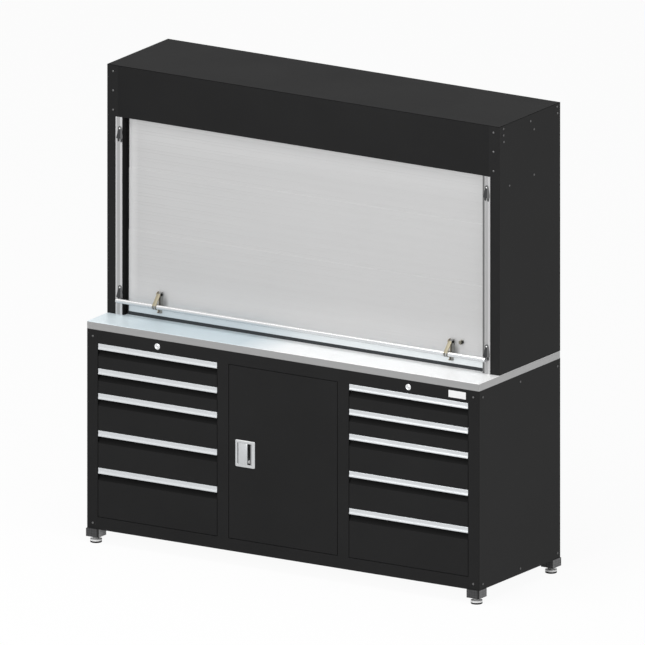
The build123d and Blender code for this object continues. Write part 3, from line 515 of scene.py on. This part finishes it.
# darker copies of the black coat: painted shade for the fascia and the roof, which the lamps light more
FASCIA_BLACK = powder_coat("black_powder_coat_fascia", (0.0096, 0.0096, 0.0098), (0.0110, 0.0110, 0.0112))
ROOF_BLACK = powder_coat("black_powder_coat_roof", (0.0052, 0.0052, 0.0053), (0.0066, 0.0066, 0.0068), 0.024)
# the drawer fronts' coat, with painted shade in their finger recesses
FRONT_BLACK = powder_coat(
    "black_powder_coat_fronts", (0.0120, 0.0120, 0.0122), (0.0138, 0.0138, 0.0140), 0.10, FRONT_POCKET
)
WORKTOP = bright_worktop()
SLATS = slat_paint()
RIBBED = ribbed_block()
PULL = plain_metal(
    "anodised_pull", (0.60, 0.62, 0.64), (0.70, 0.72, 0.735), (0.30, 0.42), (0.02, 1.0, 1.0), 700.0, 0.8
)
EXTRUSION = guide_extrusion()
RAIL = slope_of_light("anodised_rail", (0.575, 0.625, 0.655), (0.74, 0.775, 0.79), (0.36, 0.5), 0.3)
ZINC = plain_metal("zinc_plate", (0.42, 0.43, 0.45), (0.58, 0.59, 0.60), (0.3, 0.5), grain=120.0)
CHROME = plain_metal(
    "bright_chrome", (0.78, 0.79, 0.80), (0.86, 0.87, 0.88), (0.06, 0.14), grain=300.0, depth=0.00002
)
BAR = bright_bar()
PASSIVATED = plain_metal(
    "yellow_passivated", (0.30, 0.265, 0.18), (0.40, 0.36, 0.26), (0.36, 0.5), grain=160.0, metallic=0.35
)
# a darker copy of the passivated metal for the arms' fingers: painted shade where they wrap round the bar
FINGER = plain_metal(
    "finger_passivated", (0.13, 0.125, 0.10), (0.21, 0.20, 0.17), (0.36, 0.5), grain=160.0, metallic=0.3
)
KNOB = brass_lock()
RING = plain_metal("catch_ring", (0.80, 0.80, 0.80), (0.88, 0.88, 0.88), (0.2, 0.3), grain=400.0, metallic=0.3)
BRACKET = bracket_plate()
SCREW_STEEL = plain_metal(
    "screw_steel", (0.10, 0.10, 0.10), (0.17, 0.17, 0.17), (0.35, 0.55), grain=900.0, metallic=0.8
)
FOOT_STEEL = plain_metal("foot_steel", (0.40, 0.40, 0.40), (0.55, 0.55, 0.56), (0.25, 0.4), grain=400.0, metallic=0.5)
CUP = foot_cup()
HANDLE = handle_silver()
SLOPE = handle_slope()
# paler than the foot steel: painted light on the nuts, which sit in the cabinet's shade
NUT = plain_metal("foot_nut_steel", (0.62, 0.62, 0.62), (0.74, 0.74, 0.74), (0.2, 0.32), grain=400.0, metallic=0.3)
CATCH = catch_moulding()
SEAL = moulded("black_seal", (0.018, 0.021, 0.024), (0.030, 0.034, 0.038), (0.5, 0.7), 700.0)
GUIDE_SEAL = guide_rubber()
RUBBER = moulded("foot_rubber", (0.006, 0.006, 0.006), (0.012, 0.012, 0.012), (0.6, 0.8), 600.0, gloss=0.05)
SHADOW = moulded("keyway_black", (0.004, 0.004, 0.004), (0.007, 0.007, 0.007), (0.5, 0.7), 600.0, gloss=0.06)
PAN = moulded("handle_pan_dark", (0.030, 0.030, 0.030), (0.040, 0.040, 0.040), (0.5, 0.65), 600.0)
PLATE = moulded("white_plate", (0.80, 0.80, 0.80), (0.88, 0.88, 0.88), (0.25, 0.35), 300.0, 0.00003)


def paint(material, *nodes):
    """The CAD nodes' own meshes get this finish."""
    for node in nodes:
        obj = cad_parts[node]
        if not obj.material_slots:
            obj.data.materials.append(material)
        for each in obj.material_slots:
            each.material = material


BANKS = ("left", "right")
CORNERS = ("front_left", "front_right", "rear_left", "rear_right")
NUMBERS = range(1, 6)

paint(
    BLACK,
    "base_left_side",
    "base_right_side",
    "base_back_panel",
    "base_floor_tray",
    "front_frame",
    "cupboard_dividers",
    "canopy_left_side",
    "canopy_right_side",
    "canopy_back_panel",
    "door_panel",
)
paint(FASCIA_BLACK, "fascia")
paint(ROOF_BLACK, "canopy_roof")
paint(FRONT_BLACK, *[f"{bank}_drawer_{number}" for bank in BANKS for number in NUMBERS])
paint(WORKTOP, "worktop")
paint(ZINC, "fixed_runners", "barrel_brackets")
paint(SLATS, "roller_barrel", "shutter_bottom_section", "shutter_middle_section", "shutter_top_section")
paint(RIBBED, "leg_blocks")
paint(PLATE, "label_plate")
paint(EXTRUSION, "shutter_guides")
paint(RAIL, "shutter_bottom_rail")
paint(SEAL, "shutter_bottom_seal")
paint(GUIDE_SEAL, "guide_seals")
paint(BRACKET, "arm_brackets")


# ---------------------------------------------------------------- shaping
def clear():
    if bpy.context.object and bpy.context.object.mode != "OBJECT":
        bpy.ops.object.mode_set(mode="OBJECT")
    bpy.ops.object.select_all(action="DESELECT")
    bpy.context.scene.tool_settings.mesh_select_mode = (True, False, False)


def active():
    return bpy.context.view_layer.objects.active


def settle(obj):
    """Leaves edit mode and brings the object's place into its mesh."""
    bpy.ops.object.mode_set(mode="OBJECT")
    bpy.ops.object.select_all(action="DESELECT")
    obj.select_set(True)
    bpy.context.view_layer.objects.active = obj
    bpy.ops.object.transform_apply(location=True, rotation=True, scale=True)


def soften(obj, width, segments=2, angle=32.0):
    """Rounds the sharp edges and smooths what is nearly flat."""
    bpy.ops.object.select_all(action="DESELECT")
    obj.select_set(True)
    bpy.context.view_layer.objects.active = obj
    if width:
        edge = obj.modifiers.new("edge", "BEVEL")
        edge.width = width
        edge.segments = segments
        edge.limit_method = "ANGLE"
        edge.angle_limit = math.radians(angle)
        bpy.ops.object.modifier_apply(modifier=edge.name)
    bpy.ops.object.shade_smooth_by_angle(angle=math.radians(38.0))


def finish_piece(obj, name, material, body, replaced=()):
    obj.name = obj.data.name = name
    obj.data.materials.clear()
    obj.data.materials.append(material)
    if replaced:
        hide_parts(*replaced)
    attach(obj, body)
    return obj


def drawn(outline, axis, low, high):
    """A closed outline, drawn out along X, Y or Z. The outline is in the two other axes, in order."""
    def spot(a, b):
        return {"X": (low, a, b), "Y": (a, low, b), "Z": (a, b, low)}[axis]

    clear()
    bpy.ops.mesh.primitive_plane_add(size=0.001, location=spot(*outline[0]))
    obj = active()
    bpy.ops.object.mode_set(mode="EDIT")
    bpy.ops.mesh.select_all(action="SELECT")
    bpy.ops.mesh.merge(type="CENTER")
    last = outline[0]
    for point in outline[1:]:
        step = Vector(spot(*point)) - Vector(spot(*last))
        bpy.ops.mesh.extrude_vertices_move(TRANSFORM_OT_translate={"value": step})
        last = point
    bpy.ops.mesh.select_all(action="SELECT")
    bpy.ops.mesh.edge_face_add()
    reach = {"X": (high - low, 0, 0), "Y": (0, high - low, 0), "Z": (0, 0, high - low)}[axis]
    bpy.ops.mesh.extrude_region_move(TRANSFORM_OT_translate={"value": reach})
    bpy.ops.mesh.select_all(action="SELECT")
    bpy.ops.mesh.normals_make_consistent(inside=False)
    settle(obj)
    return obj


def turned(profile, axis, place, sides=40):
    """A turned piece: a disc whose end is drawn out and widened or narrowed at each step of (radius, distance)."""
    clear()
    first = profile[0]
    bpy.ops.mesh.primitive_circle_add(vertices=sides, radius=first[0], fill_type="NGON", location=(0, 0, first[1]))
    obj = active()
    bpy.ops.object.mode_set(mode="EDIT")
    bpy.ops.mesh.select_all(action="SELECT")
    radius, height = first
    for wide, far in profile[1:]:
        bpy.ops.mesh.extrude_region_move(TRANSFORM_OT_translate={"value": (0, 0, far - height)})
        bpy.ops.transform.resize(value=(wide / radius, wide / radius, 1.0))
        radius, height = wide, far
    bpy.ops.mesh.select_all(action="SELECT")
    bpy.ops.mesh.normals_make_consistent(inside=False)
    bpy.ops.object.mode_set(mode="OBJECT")
    turn = {"Z": (0, 0, 0), "-Y": (math.pi / 2, 0, 0), "X": (0, math.pi / 2, 0), "-X": (0, -math.pi / 2, 0)}[axis]
    settle(obj)
    obj.rotation_euler = turn
    obj.location = place
    settle(obj)
    return obj


def together(pieces):
    """Several meshes as one piece."""
    bpy.ops.object.select_all(action="DESELECT")
    for piece in pieces:
        piece.select_set(True)
    bpy.context.view_layer.objects.active = pieces[0]
    if len(pieces) > 1:
        bpy.ops.object.join()
    settle(pieces[0])
    return pieces[0]


def copied(obj, matrix):
    twin = obj.copy()
    twin.data = obj.data.copy()
    bpy.context.scene.collection.objects.link(twin)
    twin.data.transform(matrix)
    return twin


def arc(centre, radius, start, end, steps):
    """Points of an arc, in degrees."""
    points = []
    for k in range(steps + 1):
        a = math.radians(start + (end - start) * k / steps)
        points.append((centre[0] + radius * math.cos(a), centre[1] + radius * math.sin(a)))
    return points


def mm(points, across=0.0, along=0.0):
    """Points given in millimetres from a place."""
    return [(across + a * MM, along + b * MM) for a, b in points]


# ---------------------------------------------------------------- drawer pulls
def pull_outline(face, top, foot):
    """Section of the pull: rounded lip, hollow face, rounded shoulder, top plate and rear leg."""
    lip_back = face + 4.2 * MM
    waist = face + 0.7 * MM
    points = arc((face + 0.6 * MM, foot + 1.6 * MM), 1.6 * MM, 180, 270, 4)
    points += arc((lip_back - 1.4 * MM, foot + 1.4 * MM), 1.4 * MM, 270, 360, 4)
    points += [(lip_back - 0.4 * MM, foot + 4.0 * MM), (face + 2.5 * MM, foot + 8.5 * MM)]
    points += mm([(2.5, -1.8), (14.5, -1.8), (14.5, -12), (16, -12), (16, 0)], face, top)
    points += arc((face + 2.0 * MM, top - 2.0 * MM), 2.0 * MM, 90, 180, 5)
    points += [(face + 0.15 * MM, top - 5 * MM), (waist, top - 9 * MM), (waist, foot + 10.5 * MM)]
    points += mm([(0.2, 8.0), (-0.6, 5.6), (-1.0, 3.4)], face, foot)
    return points


for bank in BANKS:
    for number in NUMBERS:
        node = f"{bank}_drawer_handle_{number}"
        low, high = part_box(node)
        pull = drawn(pull_outline(low[1] + 1.0 * MM, high[2], low[2]), "X", low[0], high[0])
        soften(pull, 0.25 * MM, 1, 50)
        finish_piece(pull, f"{bank}_pull_{number}", PULL, f"{bank}_drawer_{number}", (node,))

# ---------------------------------------------------------------- levelling feet
THREAD_FOOT, THREAD_PITCH = 26.0, 1.25  # in millimetres

for corner in CORNERS:
    node = f"levelling_foot_{corner}"
    low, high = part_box(node)
    x, y, tip = (low[0] + high[0]) / 2, (low[1] + high[1]) / 2, high[2]
    pad = turned(mm([(21.8, 0), (22.9, 0.6), (23.2, 6.2), (22.6, 6.8)]), "Z", (x, y, 0), 56)
    soften(pad, 0)
    finish_piece(pad, f"foot_pad_{corner}", RUBBER, f"foot_{corner}")
    cup = turned(
        mm([(22.6, 6.4), (23.4, 6.8), (23.5, 13.0), (23.1, 14.2), (21.0, 14.8), (14.0, 15.8), (12.0, 17.0),
            (11.0, 18.0), (6.2, 18.1)]),
        "Z",
        (x, y, 0),
        56,
    )
    soften(cup, 0)
    finish_piece(cup, f"foot_cup_{corner}", CUP, f"foot_{corner}", (node,))
    thread = [(r, THREAD_FOOT + THREAD_PITCH * k + d) for k in range(23) for r, d in ((5.3, 0.0), (5.95, 0.6))]
    stem = turned([*mm([(5.9, 17.0), (5.9, 25.8), *thread]), (5.2 * MM, tip - 0.1 * MM)], "Z", (x, y, 0), 32)
    soften(stem, 0)
    finish_piece(stem, f"foot_stem_{corner}", FOOT_STEEL, f"foot_{corner}")
    nut = turned(mm([(9.2, 18.1), (10.9, 19.1), (10.9, 24.7), (9.2, 25.7)]), "Z", (x, y, 0), 6)
    soften(nut, 0.5 * MM, 2, 50)
    finish_piece(nut, f"foot_nut_{corner}", NUT, f"foot_{corner}")

# ---------------------------------------------------------------- screw heads
FLANK = 0.9075
POST_SCREW = 0.880
BASE_FRONT, CANOPY_FRONT = -0.300, -0.150
BASE_TOP, BASE_Z = ROOF - 1.040, ROOF - 1.850
front_spots = [(s * POST_SCREW, BASE_FRONT, z) for s in (-1, 1) for z in (BASE_TOP - 0.0275, BASE_Z + 0.02375)]
front_spots += [(s * POST_SCREW, CANOPY_FRONT, ROOF - d) for s in (-1, 1) for d in (0.026, 0.104, 0.1825)]
side_spots = [(y, z) for y in (-0.2725, 0.005, 0.280) for z in (BASE_TOP - 0.029, BASE_Z + 0.022)]
side_spots += [(y, ROOF - d) for y, d in ((-0.120, 0.014), (-0.120, 0.040), (-0.1175, 0.0675), (0.276, 0.014))]
side_spots += [(y, ROOF - d) for y, d in ((0.279, 0.040), (0.080, 0.0275), (0.106, 0.066), (-0.076, 0.254))]
side_spots += [(0.106, ROOF - 0.251)]

head = turned(
    mm([(2.5, -4.8), (2.5, 0.1), (4.4, 0.0), (4.5, 0.5), (4.2, 1.2), (3.4, 1.85), (2.2, 2.15), (1.5, 2.2), (1.4, 1.0)]),
    "Z",
    (0, 0, 0),
    12,
)
soften(head, 0)
heads = [copied(head, Matrix.Translation(s) @ Matrix.Rotation(math.pi / 2, 4, "X")) for s in front_spots]
for s in (-1, 1):
    turn = Matrix.Rotation(s * math.pi / 2, 4, "Y")
    heads += [copied(head, Matrix.Translation((s * FLANK, y, z)) @ turn) for y, z in side_spots]
bpy.data.objects.remove(head)
finish_piece(together(heads), "screw_heads", SCREW_STEEL, "cabinet", ("screws",))

# ---------------------------------------------------------------- bar catches
catch_low, catch_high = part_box("bar_catches")
plates, rings = [], []
CATCH_REACH = 0.067  # from the longer leg's end to the top of the eye
edge = [(-8, 46), (-16.5, 14), (-16, 12), (-10.2, 11.6), (-9.4, 1.2), (-8.6, 0), (-4.2, 0), (-3.4, 1.4), (-2.4, 11.6)]
edge += [(2.4, 11.6), (3.4, -0.8), (4.4, -2), (8.4, -2), (9.2, -0.8), (10, 11.4), (12, 12.2), (12.5, 14), (12.5, 24)]
for x in (catch_low[0] + 16.5 * MM, catch_high[0] - 12.5 * MM):
    for base in (catch_low[2], catch_high[2] - CATCH_REACH):
        z = base + 0.005
        top = z + 0.054
        outline = arc((x, top), 8 * MM, 0, 180, 12) + mm(edge, x, z)
        plate = drawn(outline, "Y", catch_low[1], catch_high[1])
        soften(plate, 0.8 * MM, 3, 40)
        plates.append(plate)
        ring = turned(
            mm([(3.1, 0), (3.3, 0.3), (3.1, 0.9), (2.4, 1.2), (0.8, 1.2)]),
            "-Y",
            (x, catch_low[1] + 0.1 * MM, top),
            28,
        )
        soften(ring, 0)
        rings.append(ring)
finish_piece(together(plates), "catch_plates", CATCH, "cabinet", ("bar_catches",))
finish_piece(together(rings), "catch_rings", RING, "cabinet")

# ---------------------------------------------------------------- lift bar, the caps of its pivots, arms
low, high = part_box("lift_bar")
y, z, r = (low[1] + high[1]) / 2, (low[2] + high[2]) / 2 - 0.7 * MM, (high[2] - low[2]) / 2 - 0.8 * MM
half = high[0]
near_end = [(r * 0.62, 0), (r * 0.9, 0.6 * MM), (r * 0.995, 2.2 * MM), (r * 0.995, 9.0 * MM), (r * 0.95, 9.3 * MM)]
near_end += [(r * 0.95, 10.0 * MM), (r, 10.3 * MM)]
bar = turned(
    near_end + [(radius, 2 * half - reach) for radius, reach in reversed(near_end)],
    "X",
    (-half, y, z),
    48,
)
soften(bar, 0)
finish_piece(bar, "lift_bar_tube", BAR, "bar", ("lift_bar",))

bar_y, bar_z = y, (low[2] + high[2]) / 2
low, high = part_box("shutter_lock")
PIVOT_Y, PIVOT_Z = -0.140, (low[2] + high[2]) / 2
pins = []
for side in (-1, 1):
    pin = turned(
        mm([(3.6, -0.6), (5.2, 0.1), (5.4, 0.9), (5.4, 3.6), (4.8, 4.4), (2.4, 4.5)]),
        "X",
        (side * ARM_X + 10.3 * MM, PIVOT_Y, PIVOT_Z - 1.2 * MM),
        28,
    )
    soften(pin, 0)
    pins.append(pin)
finish_piece(together(pins), "arm_pivot_caps", SHADOW, "shutter")


def bar_arc(wide, narrow, start, end, steps):
    """Section of a band round the bar, between two radii and two angles; 90 is up and 180 is to the front."""
    centre = (bar_y, bar_z)
    return arc(centre, wide * MM, start, end, steps) + arc(centre, narrow * MM, end, start, steps)


arms, fingers = [], []
for side in (-1, 1):
    x0, x1 = side * ARM_X - 8 * MM, side * ARM_X + 8 * MM
    hub = drawn(arc((PIVOT_Y - 0.6 * MM, PIVOT_Z - 2.6 * MM), 4.8 * MM, 0, 345, 22), "X", x0, x1)
    soften(hub, 0.4 * MM, 2, 60)
    top, foot = Vector((PIVOT_Y - 1.6 * MM, PIVOT_Z - 1.8 * MM)), Vector((bar_y - 6.0 * MM, bar_z + 9.2 * MM))
    across = (foot - top).orthogonal().normalized() * 2.2 * MM
    strap = drawn([tuple(top + across), tuple(foot + across), tuple(foot - across), tuple(top - across)], "X", x0, x1)
    soften(strap, 0.5 * MM, 2, 60)
    tongue = drawn(bar_arc(12.7, 10.1, 75, 158, 12), "X", x0, x1)
    soften(tongue, 0.4 * MM, 2, 60)
    arms += [hub, strap, tongue]
    for low_x in (x0, x1 - 4.5 * MM):
        finger = drawn(bar_arc(12.6, 10.1, 150, 415, 30), "X", low_x, low_x + 4.5 * MM)
        soften(finger, 0.4 * MM, 2, 60)
        fingers.append(finger)
finish_piece(together(arms), "arm_straps", PASSIVATED, "bar", ("lift_bar_arms",))
finish_piece(together(fingers), "arm_fingers", FINGER, "bar")

# ---------------------------------------------------------------- locks: faces with a keyway
def keyway(x, z, w, h, front, rear):
    """The dark slot for a key, from half its width and height."""
    slot = drawn([(x - w, z - h), (x + w, z - h), (x + w, z + h), (x - w, z + h)], "Y", front, rear)
    soften(slot, 0.3 * MM, 2)
    return slot


def key_face(x, y, z, radius, deep, proud):
    """Turned face with a stepped rim, and the dark slot for the key in it."""
    steps = ((1, 0), (0.97, 0.6), (0.88, 1), (0.72, 1), (0.68, 0.55), (0.1, 0.5))
    face = turned(
        [(radius * 0.98, -deep), *((radius * wide, proud * far) for wide, far in steps)],
        "-Y",
        (x, y, z),
        36,
    )
    soften(face, 0)
    front = y - proud * 0.5
    return face, keyway(x, z, KEY_HALF_WIDTH, radius * 0.42, front - 0.18 * MM, front + 1.0 * MM)


KEY_HALF_WIDTH = 0.9 * MM
flange_low, flange_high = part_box("lock_housings")
flange_x, flange_z, flange_y = flange_high[0] - 12.5 * MM, (flange_low[2] + flange_high[2]) / 2, flange_low[1]
collars = []
for side in (-1, 1):
    collar = turned(
        mm([(9.9, -25.9), (10.0, -4.0), (12.4, -3.95), (12.5, -3.0), (12.3, -1.2), (11.4, -0.3), (10.2, 0.0),
            (8.6, -0.1), (7.6, -0.6), (7.1, -1.4), (7.05, -2.6)]),
        "-Y",
        (side * flange_x, flange_y, flange_z),
        44,
    )
    soften(collar, 0)
    collars.append(collar)
finish_piece(together(collars), "lock_collars", CHROME, "cabinet", ("lock_housings",))
for bank, side in (("left", -1), ("right", 1)):
    low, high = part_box(f"{bank}_drawer_lock")
    face, slot = key_face(side * flange_x, flange_y + 1.1 * MM, flange_z, 6.9 * MM, 22.0 * MM, 0.9 * MM)
    cam_x0, cam_x1, cam_z0, cam_z1 = side * flange_x - 6 * MM, high[0], flange_z - 5 * MM, flange_z + 5 * MM
    cam = drawn(
        [(cam_x0, cam_z0), (cam_x1 - 2 * MM, cam_z0), (cam_x1, cam_z0 + 2 * MM), (cam_x1, cam_z1 - 2 * MM),
         (cam_x1 - 2 * MM, cam_z1), (cam_x0, cam_z1)],
        "Y", high[1] - 3 * MM, high[1])
    soften(cam, 0.3 * MM, 2)
    finish_piece(together([face, cam]), f"{bank}_lock_face", CHROME, f"{bank}_lock", (f"{bank}_drawer_lock",))
    finish_piece(slot, f"{bank}_lock_keyway", SHADOW, f"{bank}_lock")

low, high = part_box("shutter_lock")
lock_x, lock_z = (low[0] + high[0]) / 2, (low[2] + high[2]) / 2
knob = turned(
    [(3.9 * MM, low[1] + 13.1 * MM - high[1]),
     *mm([(3.9, -0.2), (9.2, 0.3), (9.2, 1.6), (8.1, 2.0), (8.1, 9.6), (8.7, 10.2), (8.5, 11.8), (7.0, 13.0),
          (5.6, 13.0), (5.2, 12.2), (0.6, 12.1)])],
    "-Y",
    (lock_x, low[1] + 13 * MM, lock_z),
    40,
)
soften(knob, 0)
finish_piece(knob, "shutter_lock_knob", KNOB, "key_knob", ("shutter_lock",))
front = low[1] + 0.8 * MM
slot = keyway(lock_x, lock_z, KEY_HALF_WIDTH, 3.2 * MM, front - 0.15 * MM, front + 1.0 * MM)
finish_piece(slot, "shutter_lock_keyway", SHADOW, "key_knob")

# ---------------------------------------------------------------- door handle: dish, paddle and key cylinder
def boxed(x0, x1, y0, y1, z0, z1):
    """A plain block between two corners."""
    clear()
    bpy.ops.mesh.primitive_cube_add(size=1.0, location=((x0 + x1) / 2, (y0 + y1) / 2, (z0 + z1) / 2))
    obj = active()
    obj.scale = (x1 - x0, y1 - y0, z1 - z0)
    settle(obj)
    return obj


def hollowed(obj, cutter):
    """The cutter's room is taken out of the piece."""
    bpy.context.view_layer.objects.active = obj
    room = obj.modifiers.new("room", "BOOLEAN")
    room.operation, room.solver, room.object = "DIFFERENCE", "EXACT", cutter
    bpy.ops.object.modifier_apply(modifier=room.name)
    bpy.data.objects.remove(cutter)
    return obj


low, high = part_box("door_handle_dish")
dish_x0, dish_x1, dish_z0, dish_z1 = low[0], high[0], low[2], high[2]
face_y = low[1]
pan_z0, pan_z1 = (dish_z0 + dish_z1) / 2 - 42.5 * MM, (dish_z0 + dish_z1) / 2 + 42.5 * MM
pan_x0, pan_x1 = dish_x0 + 10 * MM, dish_x0 + 73 * MM
rim = []
for cx, cz, start in ((1, 1, 0), (-1, 1, 90), (-1, -1, 180), (1, -1, 270)):
    centre_x = (dish_x1 if cx > 0 else dish_x0) - cx * 5 * MM
    centre_z = (dish_z1 if cz > 0 else dish_z0) - cz * 5 * MM
    rim += arc((centre_x, centre_z), 5 * MM, start, start + 90, 6)
dish = drawn(rim, "Y", face_y, face_y + 2.4 * MM)
soften(dish, 1.3 * MM, 4, 50)
hollowed(dish, boxed(pan_x0, pan_x1, face_y - 0.01, face_y + 0.01, pan_z0, pan_z1))
soften(dish, 0.3 * MM, 2, 60)
finish_piece(dish, "door_handle_bezel", HANDLE, "door", ("door_handle_dish",))
pan = boxed(pan_x0 - 1.4 * MM, pan_x1 + 1.4 * MM, face_y + 1.2 * MM, high[1], pan_z0 - 1.4 * MM, pan_z1 + 1.4 * MM)
fit = 0.05 * MM
hollowed(pan, boxed(pan_x0 + fit, pan_x1 - fit, face_y - 0.01, high[1] - 1.5 * MM, pan_z0 + fit, pan_z1 - fit))
soften(pan, 0.2 * MM, 1, 60)
finish_piece(pan, "door_handle_pan", PAN, "door")

inner = mm([(-0.1, 0.5), (-2.2, 0.8), (-4.6, 1.7), (-6.8, 3.2), (-6.8, 3.9), (-0.1, 3.9)], pan_x1, face_y)
slope = drawn(inner, "Z", pan_z0 + 0.1 * MM, pan_z1 - 0.1 * MM)
soften(slope, 0.2 * MM, 1, 60)
finish_piece(slope, "door_handle_slope", SLOPE, "door")

mid_z = (dish_z0 + dish_z1) / 2
key_x, key_z = pan_x1 - 11 * MM, mid_z - 31 * MM
cylinder, slot = key_face(key_x, face_y + 4.5 * MM, key_z, 6.4 * MM, 12.0 * MM, 1.0 * MM)
finish_piece(cylinder, "door_key_cylinder", FOOT_STEEL, "door")
finish_piece(slot, "door_keyway", SHADOW, "door")
cam = drawn(
    [(key_x - 7 * MM, key_z - 7 * MM), (key_x + 7 * MM, key_z - 7 * MM), (key_x + 7 * MM, key_z + 9 * MM),
     (key_x + 2 * MM, key_z + 14 * MM), (key_x - 7 * MM, key_z + 14 * MM)],
    "Y", face_y + 9.5 * MM, face_y + 16.5 * MM)
soften(cam, 0.8 * MM, 2)
finish_piece(cam, "door_cylinder_boss", CATCH, "door")

low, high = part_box("door_paddle")
px0, px1, pz0, pz1 = pan_x0 + 2.5 * MM, pan_x0 + 45 * MM, pan_z0 + 0.3 * MM, pan_z1 - 0.3 * MM
outline = [(px0 + 0.6 * MM, face_y + 3.0 * MM), (px0, face_y + 1.6 * MM), (px0 + 0.6 * MM, face_y + 0.6 * MM)]
for k in range(9):
    t = k / 8
    outline.append((px0 + 1.6 * MM + t * (px1 - px0 - 2.8 * MM), face_y + 0.2 * MM - math.sin(math.pi * t) * 0.9 * MM))
outline += mm([(-0.3, 0.7), (0, 1.8), (0, 8.6), (-1.5, 8.6), (-1.5, 3.0)], px1, face_y)
paddle = drawn(outline, "Z", pz0, pz1)
soften(paddle, 0.3 * MM, 2, 40)
finish_piece(paddle, "door_paddle_lever", HANDLE, "paddle", ("door_paddle",))

# ---------------------------------------------------------------- floor, light and camera
def studio_floor():
    f = Finish("studio_floor")
    shade = f.node("ShaderNodeBsdfDiffuse", values={0: (0.86, 0.86, 0.86), 1: 0.5})
    white = f.node("ShaderNodeEmission", values={0: (1.0, 1.0, 1.0), 1: 1.0})
    straight, glossy, through = [
        f.node("ShaderNodeLightPath", output=f"Is {ray} Ray") for ray in ("Camera", "Glossy", "Transmission")
    ]
    seen = f.clamp(straight + glossy + through)
    both = f.node("ShaderNodeMixShader", values=(seen * 0.94, shade, white))
    return f.output(both)


clear()
bpy.ops.mesh.primitive_plane_add(size=40.0, location=(0, 0, 0))
floor = active()
floor.name = "studio_floor"
floor.data.materials.append(studio_floor())

ROOM_LIGHT = 0.46
world = bpy.data.worlds.new("studio")
bpy.context.scene.world = world
world.use_nodes = True
nodes, links = world.node_tree.nodes, world.node_tree.links
nodes.clear()
rays = nodes.new("ShaderNodeLightPath")
lit, seen = nodes.new("ShaderNodeBackground"), nodes.new("ShaderNodeBackground")
for background, strength in ((lit, ROOM_LIGHT), (seen, 1.0)):
    background.inputs["Color"].default_value = (1.0, 1.0, 1.0, 1.0)
    background.inputs["Strength"].default_value = strength
choose = nodes.new("ShaderNodeMixShader")
out = nodes.new("ShaderNodeOutputWorld")
mirrored = nodes.new("ShaderNodeMath")
direct = nodes.new("ShaderNodeMath")
direct.use_clamp = True
links.new(rays.outputs["Is Glossy Ray"], mirrored.inputs[0])
links.new(rays.outputs["Is Transmission Ray"], mirrored.inputs[1])
links.new(rays.outputs["Is Camera Ray"], direct.inputs[0])
links.new(mirrored.outputs[0], direct.inputs[1])
links.new(direct.outputs[0], choose.inputs[0])
links.new(lit.outputs[0], choose.inputs[1])
links.new(seen.outputs[0], choose.inputs[2])
links.new(choose.outputs[0], out.inputs["Surface"])


def softbox(name, place, aim, size, power):
    lamp = bpy.data.lights.new(name, "AREA")
    lamp.shape = "RECTANGLE"
    lamp.size, lamp.size_y = size
    lamp.energy = power
    obj = bpy.data.objects.new(name, lamp)
    bpy.context.scene.collection.objects.link(obj)
    obj.location = place
    obj.rotation_euler = (Vector(aim) - Vector(place)).to_track_quat("-Z", "Y").to_euler()


softbox("key_softbox", (0.1, -5.6, 2.8), (0, 0, 1.0), (4.4, 2.6), 137.0)
softbox("right_softbox", (5.0, -0.6, 2.4), (0, 0, 0.9), (2.4, 2.4), 33.0)
softbox("top_softbox", (0.0, -1.4, 4.6), (0, -0.2, 0.9), (3.4, 2.0), 73.0)

AZIMUTH, ELEVATION = math.radians(32.0), math.radians(15.0)
VIEW_WIDTH, DISTANCE = 2.5307, 8.0
SHIFT_RIGHT, SHIFT_UP = -0.00419, 0.9232
AIMED_ROOF = 1.912  # height of the roof that the upward shift goes with
level = math.cos(ELEVATION)
right = Vector((math.cos(AZIMUTH), math.sin(AZIMUTH), 0.0))
ahead = Vector((-math.sin(AZIMUTH) * level, math.cos(AZIMUTH) * level, -math.sin(ELEVATION)))
up = right.cross(ahead)
lens = bpy.data.cameras.new("camera")
lens.type = "ORTHO"
lens.ortho_scale = VIEW_WIDTH
lens.clip_end = 60.0
camera = bpy.data.objects.new("camera", lens)
bpy.context.scene.collection.objects.link(camera)
raised = up * (ROOF - AIMED_ROOF) * math.cos(ELEVATION) + up * SHIFT_UP
camera.location = right * SHIFT_RIGHT + raised - ahead * DISTANCE
camera.rotation_euler = Matrix((right, up, -ahead)).transposed().to_euler()
bpy.context.scene.camera = camera
bpy.context.scene.view_settings.view_transform = "Standard"
